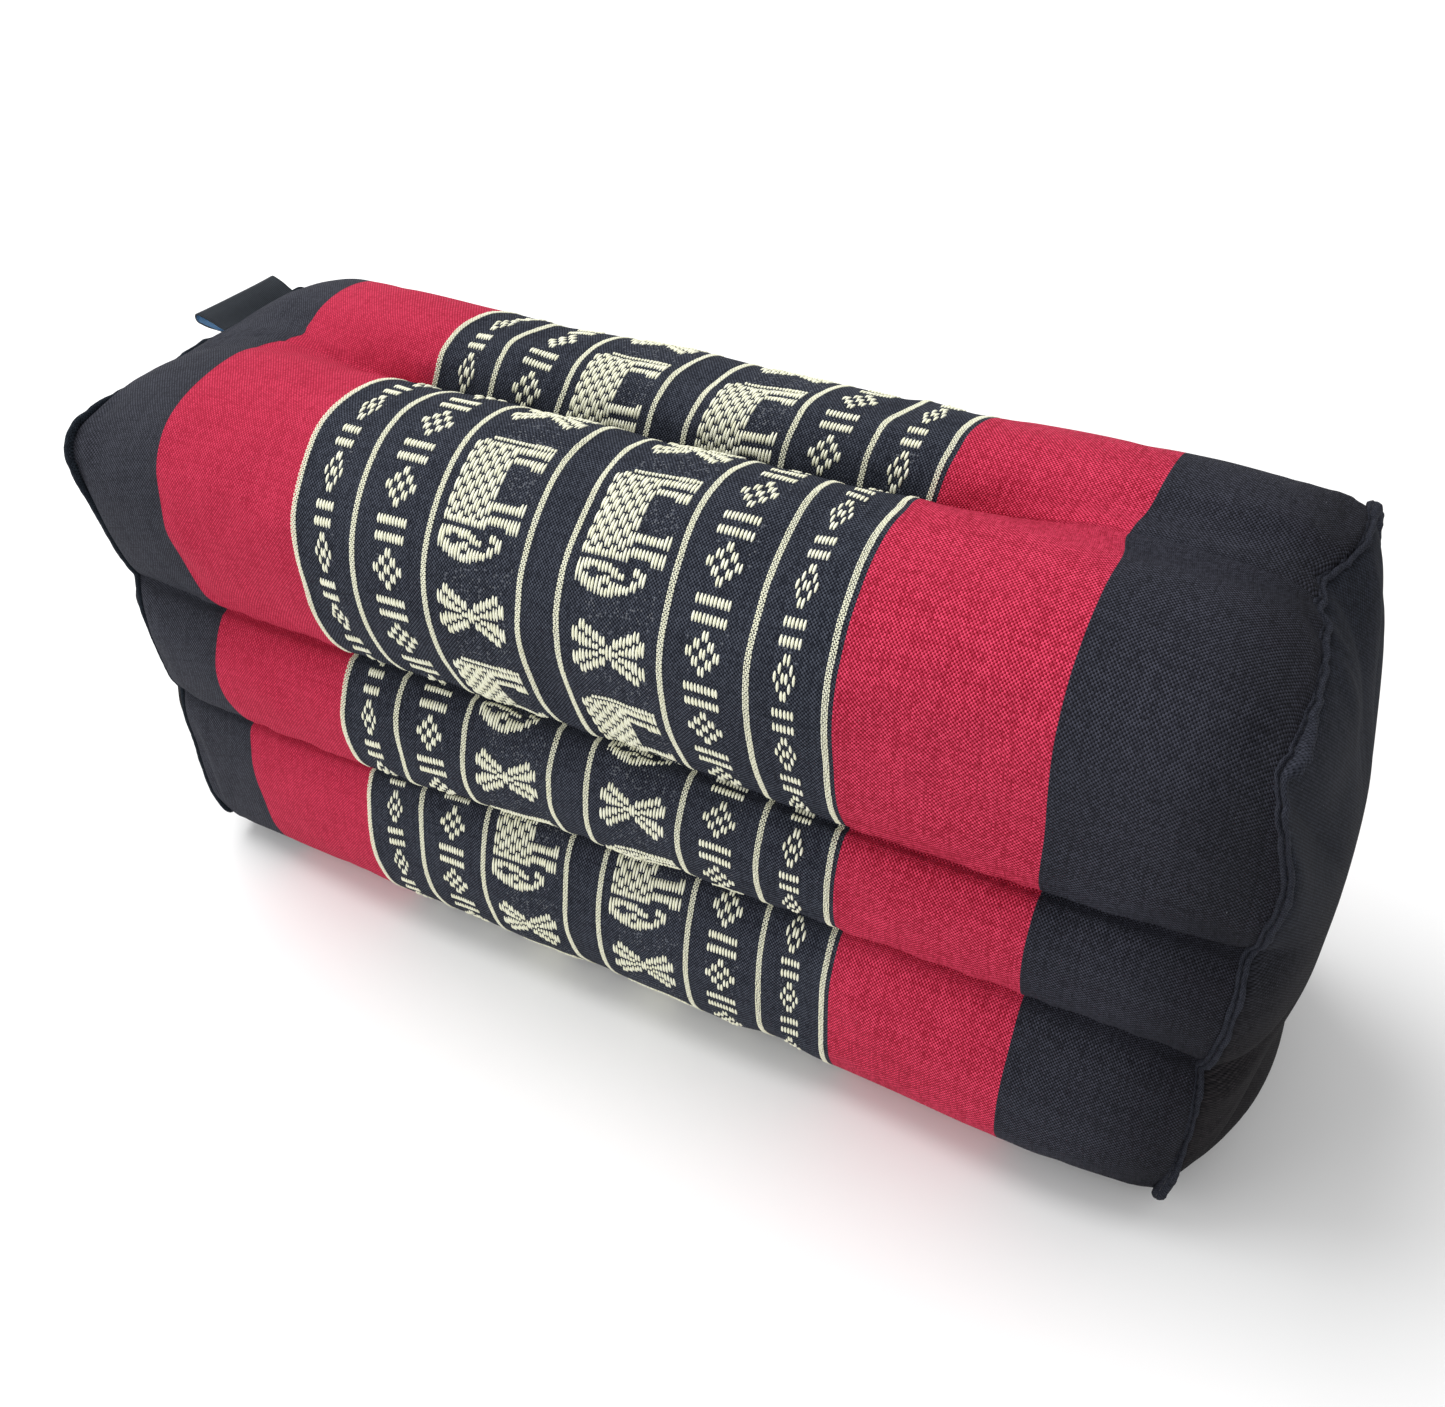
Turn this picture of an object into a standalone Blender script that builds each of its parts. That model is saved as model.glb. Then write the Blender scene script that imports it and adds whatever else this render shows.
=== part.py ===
"""Block cushion of woven cloth: a stuffed wrap of six sewn channels, two domed end panels
with their turned-out seams, and a folded ribbon tag.

Metres, +Z up. X runs along the block, Y through its depth with the front at -Y, and the
block rests on Z = 0. The shape is worked out in millimetres and scaled once, in skin().
"""
import math

import bmesh
import bpy

MM = 0.001

HALF_SEAM = 155.0        # from the middle of the block to each end seam
HALF_DEPTH = 48.0        # of the end seam's loop
HALF_HEIGHT = 72.0       # of the end seam's loop
MID_HEIGHT = 80.0        # centre of the end seam's loop above the floor
DOME = {1: 17.6, -1: 16.5}          # how far each end panel bulges past its seam
DOME_POWER = 0.55
DOME_FALL = (2.4, 2.2, 5.0)         # powers of its fall: sideways, to the top, to the foot
DOME_DENTS = ((3.2, 45.0, 15.0), (2.0, 127.0, 14.0))   # dips: depth, height, reach
DOME_RELAX = 3           # how fast the seam's kinks fade towards the middle of a panel
DOME_LOOP = (47.0, 73.5, 5)         # half sizes and power of the smooth loop they fade to
END_ROUNDING = 6         # the higher, the closer to the seam a puff starts to close
VALLEY_SHIFT = (8.0, 10.4)          # the top valley is sewn this far back, more at the right
SEAM_PULL = 8            # the higher, the closer to the end the seam's waves are felt
BACK_WIDTH = 1.08        # the back puffs are this much fuller in depth
BACK_RISE = (0.4, 2.2)   # and their shoulder this much higher, mid-length and near the ends

SHEET = 1.5              # cloth of the end panels
SHEET_GAP = 0.5          # between an end panel and the filling body, along X
RIM_GROWTH = 0.4         # both grow by this share towards the steep rim
EAR = {1: 0.15, -1: 0.9}            # the seam's corners stand out further by these shares
CORNER = (0.74, 0.97)    # where a corner starts and is full, as a share of the loop's own

# Front half of the section, from the top valley down to the bottom valley, in three
# channels. Columns: y and z in the middle of the block, y and z on the end seam, and how
# far the seam stands out past HALF_SEAM at the right and at the left end.
TOP_PUFF = (
    (0.0, 148.0, 0.0, 154.2, -5.0, -1.0),
    (-4.5, 158.5, -10.1, 154.8, -2.6, 0.3),
    (-12.0, 162.6, -17.7, 155.0, -0.4, 1.2),
    (-22.0, 162.4, -26.6, 154.9, 0.8, 1.6),
    (-33.0, 159.8, -36.7, 154.1, 0.6, 1.6),
    (-42.0, 154.8, -45.0, 152.6, -0.6, 1.2),
    (-48.6, 146.0, -49.0, 146.6, 0.2, 0.4),
    (-50.8, 134.0, -49.2, 135.0, 3.4, 0.2),
    (-49.8, 119.0, -48.0, 121.5, 5.6, 1.0),
    (-46.6, 106.0, -45.4, 109.0, 4.6, 2.2),
    (-42.5, 97.5, -42.4, 100.5, 3.2, 3.0),
)
SIDE_CHANNEL = (
    (-42.5, 97.5, -42.4, 100.5, 3.2, 3.0),
    (-47.8, 93.0, -45.4, 92.0, 2.0, 2.2),
    (-51.4, 86.0, -46.4, 83.0, 1.8, 1.6),
    (-52.2, 77.0, -46.6, 74.0, 2.2, 0.8),
    (-50.4, 67.0, -45.8, 65.0, 1.2, 0.8),
    (-45.5, 59.5, -43.2, 58.0, 0.2, 1.6),
)
FOOT_PUFF = (
    (-45.5, 59.5, -43.2, 58.0, 0.2, 1.6),
    (-50.8, 52.5, -46.2, 49.5, 1.0, 0.6),
    (-54.2, 42.5, -47.4, 39.5, 1.0, -0.2),
    (-55.0, 30.0, -47.8, 28.5, 0.5, 0.4),
    (-53.4, 17.0, -48.0, 17.0, 0.0, 0.0),
    (-47.0, 6.0, -47.4, 9.4, -1.0, -3.0),
    (-37.0, -0.8, -38.5, 7.2, 0.5, -1.0),
    (-27.0, -2.2, -29.0, 6.8, 1.0, 0.0),
    (-17.0, -1.2, -19.5, 6.9, 1.0, 0.0),
    (-8.0, 3.0, -10.0, 7.4, 0.0, -0.5),
    (0.0, 12.0, 0.0, 8.8, -3.0, -2.0),
)
HALF_SECTION = (TOP_PUFF, SIDE_CHANNEL, FOOT_PUFF)
CHANNEL_STEPS = (14, 8, 14)          # faces round the front half, channel by channel
LENGTH_STEPS = 32
CAP_RINGS = (0.94, 0.82, 0.64, 0.42, 0.2)

# How far hand stuffing and uneven sewing move the front half. Each span gives the stretch of
# the block, as u, or of the height, over which a shift comes in.
SHOULDER_IN = 2.6        # top puff's face, pressed back at the right
SHOULDER_RISE = 1.6      # top puff's crest, raised at the right
SHOULDER_SPANS = ((0.1, 0.6), (104.0, 122.0), (148.0, 160.0))
CREST_SPANS = ((0.3, 0.75), (130.0, 158.0))
UPPER_DROP = 3.0         # upper crease, sewn lower at the right
UPPER_SPANS = ((0.0, 0.5), (98.0, 118.0))
LOWER_RISE = (1.0, 2.0)  # lower crease, raised in the middle and further to the right
LOWER_OUT = 2.8          # and further out at the left
LOWER_SPAN = (0.1, 0.5)
SIDE_IN = 2.0            # side channel, pressed in at the right
FOOT_IN = (1.6, 3.2)     # foot puff, pressed in at the left and out at the right
FOOT_SPANS = ((0.5, 0.9), (0.35, 0.75))
END_DROP = 3.0           # the left end's top is sewn lower
END_SPANS = ((0.8, 1.0), (140.0, 152.0))
VALLEY_REACH = 0.55      # the valley's shift fades by this t of the top puff
BACK_REACH = 0.85        # and the back shoulder's rise by this t

# Seam allowances seen end on: out from the loop, and out along X. They stand at the right
# end and are tucked close at the left end.
LIP = {
    1: ((0.7, 1.0), (1.7, 2.4), (3.0, 2.5), (2.9, 0.9), (1.2, -1.0)),
    -1: ((0.2, 0.6), (0.6, 1.6), (1.5, 2.0), (1.8, 1.2), (0.8, -0.6)),
}

# Ribbon tag, caught in the left end seam's top edge behind the valley.
TAG_SPAN = (0.07, 0.48)  # where it starts and ends along the seam, as t of the back puff
TAG_REACH = 9.0
TAG_LOOP = 3.4           # across the fold, outside
TAG_SHEET = 1.0
TAG_TILTS = (14.0, 8.0)   # degrees above level, front and back
TAG_ROOT = (3.2, -0.6)   # past the seam: out along X, and up
TAG_ROWS = 5
FOLD_STEPS = 8

COLOURS = {
    "cushion": (0.42, 0.012, 0.03, 1.0),
    "end_panel_right": (0.016, 0.017, 0.021, 1.0),
    "end_panel_left": (0.016, 0.017, 0.021, 1.0),
    "label": (0.012, 0.013, 0.016, 1.0),
}
ROUGHNESS = {"cushion": 0.82, "end_panel_right": 0.88, "end_panel_left": 0.88, "label": 0.6}


def ease(value, low, high):
    """0 below low, 1 above high, and smooth between them."""
    t = min(max((value - low) / (high - low), 0.0), 1.0)
    return t * t * (3.0 - 2.0 * t)


def spline(rows, t):
    """Catmull-Rom curve through the rows of a table, every column at once."""
    last = len(rows) - 1
    place = min(max(t, 0.0), 1.0) * last
    i = min(int(place), last - 1)
    f = place - i
    b, c = rows[i], rows[i + 1]
    a = rows[i - 1] if i > 0 else [2 * p - q for p, q in zip(b, c)]
    d = rows[i + 2] if i + 2 <= last else [2 * q - p for p, q in zip(b, c)]
    return [0.5 * (2 * q + (r - p) * f + (2 * p - 5 * q + 4 * r - s) * f ** 2
                   + (3 * q - p - 3 * r + s) * f ** 3)
            for p, q, r, s in zip(a, b, c, d)]


def unevenness(kind, t, u, z):
    """How far hand stuffing moves a point of the front half: (dy, dz) in millimetres."""
    if kind == 0:
        along, rises, falls = SHOULDER_SPANS
        dy = SHOULDER_IN * ease(u, *along) * ease(z, *rises) * (1.0 - ease(z, *falls))
        dz = SHOULDER_RISE * ease(u, *CREST_SPANS[0]) * ease(z, *CREST_SPANS[1])
        dz -= UPPER_DROP * ease(u, *UPPER_SPANS[0]) * (1.0 - ease(z, *UPPER_SPANS[1]))
        return dy, dz
    near_lower = t * t if kind == 1 else max(0.0, 1.0 - 2.5 * t) ** 2
    dy = -LOWER_OUT * ease(-u, *LOWER_SPAN) * near_lower
    dz = (LOWER_RISE[0] + LOWER_RISE[1] * u) * near_lower
    if kind == 1:
        dy += SIDE_IN * ease(u, *LOWER_SPAN) * math.sin(math.pi * t)
        dz -= UPPER_DROP * ease(u, *UPPER_SPANS[0]) * (1.0 - t) ** 2
    else:
        at_left, at_right = FOOT_SPANS
        push = FOOT_IN[0] * ease(-u, *at_left) - FOOT_IN[1] * ease(u, *at_right)
        dy += push * math.sin(math.pi * min(1.0, t / 0.6))
    return dy, dz


def wrap_point(channel, t, u):
    """Point of the wrap. Channels 0 to 5 run from the top valley down the front and up the
    back, t runs 0 to 1 across each, and u from -1 to 1 along the block."""
    back = channel > 2
    kind = 5 - channel if back else channel
    if back:
        t = 1.0 - t
    mid_y, mid_z, seam_y, seam_z, right_out, left_out = spline(HALF_SECTION[kind], t)
    full = math.sqrt(max(0.0, 1.0 - abs(u) ** END_ROUNDING))
    if back:
        mid_y *= BACK_WIDTH
        if kind == 0:
            rise = BACK_RISE[0] + (BACK_RISE[1] - BACK_RISE[0]) * ease(abs(u), 0.3, 0.8)
            mid_z += rise * math.sin(math.pi * min(1.0, t / BACK_REACH)) ** 2
    y = seam_y + (mid_y - seam_y) * full
    z = seam_z + (mid_z - seam_z) * full
    if back:
        y = -y
    else:
        dy, dz = unevenness(kind, t, u, z)
        y += dy * full
        z += dz * full
    if kind == 0:
        shift = VALLEY_SHIFT[0] + (VALLEY_SHIFT[1] - VALLEY_SHIFT[0]) * max(u, 0.0)
        y += shift * max(0.0, 1.0 - t / VALLEY_REACH) ** 2
        z -= END_DROP * ease(-u, *END_SPANS[0]) * ease(z, *END_SPANS[1])
    out = right_out if u > 0 else -left_out
    x = u * HALF_SEAM + out * abs(u) ** SEAM_PULL
    return x, y, max(z, 0.0)


def section(u):
    """One closed loop of the wrap at u, front side first."""
    loop = []
    for channel in range(6):
        steps = CHANNEL_STEPS[5 - channel if channel > 2 else channel]
        loop += [wrap_point(channel, i / steps, u) for i in range(steps)]
    return loop


def dome_ring(seam, side, r, inset):
    """The seam loop drawn in to r (1 at the seam, 0 in the middle) on the domed end."""
    depth = inset * (1.0 + RIM_GROWTH * r ** 6)
    half_y, half_z, power = DOME_LOOP
    kinked = r ** DOME_RELAX
    ring = []
    for x, y, z in seam:
        rise = z - MID_HEIGHT
        smooth = (abs(y / half_y) ** power + abs(rise / half_z) ** power) ** (-1.0 / power)
        reach = r * (kinked + (1.0 - kinked) * smooth)
        across = y / HALF_DEPTH
        up = rise / HALF_HEIGHT
        edge = max(abs(across), abs(up))
        fall_y = 1.0 - abs(across / edge * r) ** DOME_FALL[0]
        fall_z = 1.0 - abs(up / edge * r) ** DOME_FALL[1 if up > 0.0 else 2]
        bulge = DOME[side] * max(fall_y * fall_z, 0.0) ** DOME_POWER
        for sink, height, spread in DOME_DENTS:
            away = (MID_HEIGHT + rise * reach - height) / spread
            bulge -= sink * fall_y * math.exp(-away * away) * (1.0 - r ** 8)
        seam_x = side * HALF_SEAM + (x - side * HALF_SEAM) * r * kinked
        ring.append((seam_x + side * (bulge - depth), y * reach, MID_HEIGHT + rise * reach))
    return ring


def dome_centre(side, inset):
    return dome_ring([(side * HALF_SEAM, 0.0, MID_HEIGHT + HALF_HEIGHT)], side, 0.0, inset)[0]


def loop_normals(loop):
    """Unit normals of a closed loop in the YZ plane, pointing out of it."""
    normals = []
    for i in range(len(loop)):
        ahead = loop[(i + 2) % len(loop)]
        behind = loop[i - 2]
        dy, dz = ahead[1] - behind[1], ahead[2] - behind[2]
        size = math.hypot(dy, dz)
        normals.append((dz / size, -dy / size))
    centre = (0.0, MID_HEIGHT)
    if sum(n[0] * (p[1] - centre[0]) + n[1] * (p[2] - centre[1])
           for n, p in zip(normals, loop)) < 0.0:
        normals = [(-a, -b) for a, b in normals]
    return normals


def lip_rings(seam, side):
    """Rings of the turned-out seam allowances, from the outer face round to the inner."""
    normals = loop_normals(seam)
    rings = []
    for out, along in LIP[side]:
        ring = []
        for (x, y, z), (ny, nz) in zip(seam, normals):
            corner = abs(y / HALF_DEPTH * (z - MID_HEIGHT) / HALF_HEIGHT)
            reach = out * (1.0 + EAR[side] * ease(corner, *CORNER))
            ring.append((x + side * along, y + ny * reach, z + nz * reach))
        rings.append(ring)
    return rings


def hairpin():
    """Outline of the folded ribbon, as (reach, across) from the middle of its root."""
    points = []
    for radius, turn in ((TAG_LOOP / 2.0, 1), (TAG_LOOP / 2.0 - TAG_SHEET, -1)):
        straight = TAG_REACH - TAG_LOOP / 2.0
        points.append((0.0, turn * radius))
        for i in range(FOLD_STEPS + 1):
            angle = math.pi * i / FOLD_STEPS
            points.append((straight + radius * math.sin(angle), turn * radius * math.cos(angle)))
        points.append((0.0, -turn * radius))
    return points


def tag_rings():
    """Outlines of the folded ribbon from its front end to its back end."""
    rings = []
    for row in range(TAG_ROWS + 1):
        f = row / TAG_ROWS
        seam_t = TAG_SPAN[0] + (TAG_SPAN[1] - TAG_SPAN[0]) * f
        tilt = math.radians(TAG_TILTS[0] + (TAG_TILTS[1] - TAG_TILTS[0]) * f)
        x, y, z = wrap_point(5, 1.0 - seam_t, -1.0)
        rings.append([(x - TAG_ROOT[0] - reach * math.cos(tilt) + across * math.sin(tilt), y,
                       z + TAG_ROOT[1] + reach * math.sin(tilt) + across * math.cos(tilt))
                      for reach, across in hairpin()])
    return rings


def material_for(name):
    material = bpy.data.materials.new(name + "_cloth")
    material.use_nodes = True
    shader = material.node_tree.nodes["Principled BSDF"]
    shader.inputs["Base Color"].default_value = COLOURS[name]
    shader.inputs["Roughness"].default_value = ROUGHNESS[name]
    shader.inputs["Metallic"].default_value = 0.0
    return material


def skin(name, rings, collection, start=None, end=None):
    """Loft a closed body through rings of millimetre points. Each end closes on a point,
    or on one flat face where no point is given."""
    bm = bmesh.new()
    verts = [[bm.verts.new([c * MM for c in point]) for point in ring] for ring in rings]
    count = len(rings[0])
    for pair in zip(verts, verts[1:]):
        # Facing sheets are split along the same diagonals, so they stay clear of each other.
        wide, narrow = sorted(pair, key=lambda ring: -sum(abs(v.co.y) for v in ring))
        for i in range(count):
            j = (i + 1) % count
            bm.faces.new((wide[i], wide[j], narrow[j]))
            bm.faces.new((wide[i], narrow[j], narrow[i]))
    for ring, pole in ((verts[0], start), (verts[-1], end)):
        if pole is None:
            bm.faces.new(ring)
            continue
        tip = bm.verts.new([c * MM for c in pole])
        for i in range(count):
            bm.faces.new((ring[i], ring[(i + 1) % count], tip))
    bmesh.ops.recalc_face_normals(bm, faces=bm.faces)
    mesh = bpy.data.meshes.new(name)
    bm.to_mesh(mesh)
    bm.free()
    mesh.shade_smooth()
    mesh.materials.append(material_for(name))
    piece = bpy.data.objects.new(name, mesh)
    collection.objects.link(piece)
    return piece


def make_cushion(collection):
    """The filled wrap: both capped ends and every station between them."""
    inset = SHEET + SHEET_GAP
    stations = [math.sin(math.pi / 2.0 * (2.0 * i / LENGTH_STEPS - 1.0))
                for i in range(LENGTH_STEPS + 1)]
    left, right = section(-1.0), section(1.0)
    rings = [dome_ring(left, -1, r, inset) for r in reversed(CAP_RINGS)]
    rings.append(dome_ring(left, -1, 1.0, inset))
    rings += [section(u) for u in stations[3:-3]]
    rings.append(dome_ring(right, 1, 1.0, inset))
    rings += [dome_ring(right, 1, r, inset) for r in CAP_RINGS]
    return skin("cushion", rings, collection, dome_centre(-1, inset), dome_centre(1, inset))


def make_end_panel(name, side, collection):
    """Domed cloth with its seam allowances turned out as a lip."""
    seam = section(float(side))
    rings = [dome_ring(seam, side, r, 0.0) for r in reversed(CAP_RINGS)]
    rings.append(dome_ring(seam, side, 1.0, 0.0))
    rings += lip_rings(seam, side)
    rings.append(dome_ring(seam, side, 1.0, SHEET))
    rings += [dome_ring(seam, side, r, SHEET) for r in CAP_RINGS]
    return skin(name, rings, collection, dome_centre(side, 0.0), dome_centre(side, SHEET))


def main():
    for old in list(bpy.data.objects):
        bpy.data.objects.remove(old, do_unlink=True)
    collection = bpy.data.collections.new("block_cushion")
    bpy.context.scene.collection.children.link(collection)
    make_cushion(collection)
    make_end_panel("end_panel_right", 1, collection)
    make_end_panel("end_panel_left", -1, collection)
    skin("label", tag_rings(), collection)


main()
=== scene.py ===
import math
import random

import bpy
import numpy as np
from mathutils import Matrix, Vector


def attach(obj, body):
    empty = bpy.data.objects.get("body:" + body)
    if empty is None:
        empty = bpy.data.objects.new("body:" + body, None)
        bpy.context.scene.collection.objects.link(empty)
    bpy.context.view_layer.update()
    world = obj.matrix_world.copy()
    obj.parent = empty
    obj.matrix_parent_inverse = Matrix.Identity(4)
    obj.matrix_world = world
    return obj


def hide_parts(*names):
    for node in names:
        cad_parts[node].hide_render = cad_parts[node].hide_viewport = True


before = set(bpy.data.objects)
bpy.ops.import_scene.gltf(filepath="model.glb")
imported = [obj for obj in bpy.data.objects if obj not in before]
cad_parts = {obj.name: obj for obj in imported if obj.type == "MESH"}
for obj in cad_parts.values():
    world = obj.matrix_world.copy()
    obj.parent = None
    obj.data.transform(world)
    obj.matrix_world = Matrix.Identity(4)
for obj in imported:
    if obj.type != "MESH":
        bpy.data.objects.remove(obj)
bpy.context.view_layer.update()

MM = 0.001

# Camera, in the frame of the block: where it is, and its right, down and ahead.
CAMERA_AT = (0.16617643, -0.25467307, 0.3469203)
CAMERA_ROWS = (
    (0.8729, 0.4824, -0.0712),
    (0.2799, -0.6159, -0.7364),
    (-0.3876526, 0.6337809, -0.6693633),
)
CAMERA_LENS = 36.57
CAMERA_SENSOR = 36.0

# The block's form, repeated from part.py, in millimetres.
HALF_SEAM = 155.0
HALF_DEPTH = 48.0
HALF_HEIGHT = 72.0
MID_HEIGHT = 80.0
DOME = {1: 17.6, -1: 16.5}
DOME_POWER = 0.55
DOME_FALL = (2.4, 2.2, 5.0)
DOME_DENTS = ((3.2, 45.0, 15.0), (2.0, 127.0, 14.0))
DOME_DENT_FADE = 8
DOME_RELAX = 3
DOME_LOOP = (47.0, 73.5, 5)
DOME_INSET = (0.4, 6)
END_ROUNDING = 6
VALLEY_SHIFT = (8.0, 10.4)
SEAM_PULL = 8
BACK_WIDTH = 1.08
BACK_RISE = (0.4, 2.2)
BACK_RISE_SPAN = (0.3, 0.8)
# Half the section, a row for each point: y and z in the middle, y and z at the end seam, and
# how far the seam stands out there at the right and at the left. The channels share the
# points of their creases.
POINTS = (
    (0.0, 148.0, 0.0, 154.2, -5.0, -1.0),
    (-4.5, 158.5, -10.1, 154.8, -2.6, 0.3),
    (-12.0, 162.6, -17.7, 155.0, -0.4, 1.2),
    (-22.0, 162.4, -26.6, 154.9, 0.8, 1.6),
    (-33.0, 159.8, -36.7, 154.1, 0.6, 1.6),
    (-42.0, 154.8, -45.0, 152.6, -0.6, 1.2),
    (-48.6, 146.0, -49.0, 146.6, 0.2, 0.4),
    (-50.8, 134.0, -49.2, 135.0, 3.4, 0.2),
    (-49.8, 119.0, -48.0, 121.5, 5.6, 1.0),
    (-46.6, 106.0, -45.4, 109.0, 4.6, 2.2),
    (-42.5, 97.5, -42.4, 100.5, 3.2, 3.0),
    (-47.8, 93.0, -45.4, 92.0, 2.0, 2.2),
    (-51.4, 86.0, -46.4, 83.0, 1.8, 1.6),
    (-52.2, 77.0, -46.6, 74.0, 2.2, 0.8),
    (-50.4, 67.0, -45.8, 65.0, 1.2, 0.8),
    (-45.5, 59.5, -43.2, 58.0, 0.2, 1.6),
    (-50.8, 52.5, -46.2, 49.5, 1.0, 0.6),
    (-54.2, 42.5, -47.4, 39.5, 1.0, -0.2),
    (-55.0, 30.0, -47.8, 28.5, 0.5, 0.4),
    (-53.4, 17.0, -48.0, 17.0, 0.0, 0.0),
    (-47.0, 6.0, -47.4, 9.4, -1.0, -3.0),
    (-37.0, -0.8, -38.5, 7.2, 0.5, -1.0),
    (-27.0, -2.2, -29.0, 6.8, 1.0, 0.0),
    (-17.0, -1.2, -19.5, 6.9, 1.0, 0.0),
    (-8.0, 3.0, -10.0, 7.4, 0.0, -0.5),
    (0.0, 12.0, 0.0, 8.8, -3.0, -2.0),
)
HALF_SECTION = (POINTS[:11], POINTS[10:16], POINTS[15:])
SHOULDER_IN = 2.6
SHOULDER_RISE = 1.6
SHOULDER_SPANS = ((0.1, 0.6), (104.0, 122.0), (148.0, 160.0))
CREST_SPANS = ((0.3, 0.75), (130.0, 158.0))
UPPER_DROP = 3.0
UPPER_SPANS = ((0.0, 0.5), (98.0, 118.0))
LOWER_RISE = (1.0, 2.0)
LOWER_OUT = 2.8
LOWER_SPAN = (0.1, 0.5)
LOWER_FADE = 2.5
SIDE_IN = 2.0
FOOT_IN = (1.6, 3.2)
FOOT_SPANS = ((0.5, 0.9), (0.35, 0.75))
FOOT_REACH = 0.6
END_DROP = 3.0
END_SPANS = ((0.8, 1.0), (140.0, 152.0))
VALLEY_REACH = 0.55
BACK_REACH = 0.85

# The fine grid of the wrap: rows go round the block from the top valley down the front,
# columns along it.
CHANNEL_FACES = (68, 26, 62, 62, 26, 68)
CHANNEL_EDGES = np.cumsum((0,) + CHANNEL_FACES)
FRONT_ROWS = CHANNEL_EDGES[3]
COLUMNS = 290


def ease(value, low, high):
    """0 below low, 1 above high and smooth between them."""
    t = np.clip((value - low) / (high - low), 0.0, 1.0)
    return t * t * (3.0 - 2.0 * t)


def bell(value, middle, width):
    return np.exp(-((value - middle) / width) ** 2)


def unit(vectors):
    return vectors / np.maximum(np.linalg.norm(vectors, axis=-1, keepdims=True), 1e-9)


def looped(rows):
    """The rows with the first one once more at the end."""
    return np.concatenate([rows, rows[:1]])


def lengths_along(points):
    """Length along the first axis, from the first point to each one."""
    steps = np.linalg.norm(np.diff(points, axis=0), axis=-1)
    return np.concatenate([np.zeros_like(steps[:1]), np.cumsum(steps, axis=0)])


def at_places(places, marks, points):
    """Points between the marked ones."""
    return np.stack([np.interp(places, marks, column) for column in points.T], -1)


def facing_out(n, points):
    """Unit normals that point away from the middle of the block."""
    n = unit(n)
    return n if ((points - [0.0, 0.0, MID_HEIGHT]) * n).sum(-1).mean() > 0 else -n


def between(a, i, j):
    """Values of a grid at the broken row and column numbers i and j."""
    i0 = np.clip(i.astype(int), 0, a.shape[0] - 2)
    j0 = np.clip(j.astype(int), 0, a.shape[1] - 2)
    fi, fj = (i - i0)[..., None], (j - j0)[..., None]
    return ((a[i0, j0] * (1 - fi) + a[i0 + 1, j0] * fi) * (1 - fj)
            + (a[i0, j0 + 1] * (1 - fi) + a[i0 + 1, j0 + 1] * fi) * fj)


def noise_wave(x, seed, longest, waves=5):
    """Smooth uneven wave of about -1 to 1 along x."""
    draw = random.Random(seed)
    total = 0.0
    for k in range(waves):
        total = total + math.pow(0.75, k) * np.sin(
            2 * math.pi * x / (longest / (1.6 ** k)) + draw.uniform(0, 6.283))
    return total / 2.2


def spline(rows, t):
    """Catmull-Rom curve through the rows of a table: one array for each column."""
    table = np.array(rows)
    last = len(rows) - 1
    place = np.clip(t, 0.0, 1.0) * last
    i = np.minimum(place.astype(int), last - 1)
    f = (place - i)[..., None]
    table = np.vstack([2 * table[0] - table[1], table, 2 * table[-1] - table[-2]])
    p, q, r, s = table[i], table[i + 1], table[i + 2], table[i + 3]
    out = 0.5 * (2 * q + (r - p) * f + (2 * p - 5 * q + 4 * r - s) * f ** 2
                 + (3 * q - p - 3 * r + s) * f ** 3)
    return np.moveaxis(out, -1, 0)


def unevenness(kind, t, u, z):
    """How the front differs from a straight block, in y and z."""
    if kind == 0:
        along, rises, falls = SHOULDER_SPANS
        dy = SHOULDER_IN * ease(u, *along) * ease(z, *rises) * (1.0 - ease(z, *falls))
        dz = SHOULDER_RISE * ease(u, *CREST_SPANS[0]) * ease(z, *CREST_SPANS[1])
        drop = UPPER_DROP * ease(u, *UPPER_SPANS[0]) * (1.0 - ease(z, *UPPER_SPANS[1]))
        return dy, dz - drop
    near_lower = t * t if kind == 1 else np.maximum(0.0, 1.0 - LOWER_FADE * t) ** 2
    dy = -LOWER_OUT * ease(-u, *LOWER_SPAN) * near_lower
    dz = (LOWER_RISE[0] + LOWER_RISE[1] * u) * near_lower
    if kind == 1:
        dy = dy + SIDE_IN * ease(u, *LOWER_SPAN) * np.sin(math.pi * t)
        dz = dz - UPPER_DROP * ease(u, *UPPER_SPANS[0]) * (1.0 - t) ** 2
    else:
        at_left, at_right = FOOT_SPANS
        push = FOOT_IN[0] * ease(-u, *at_left) - FOOT_IN[1] * ease(u, *at_right)
        dy = dy + push * np.sin(math.pi * np.minimum(1.0, t / FOOT_REACH))
    return dy, dz


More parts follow.
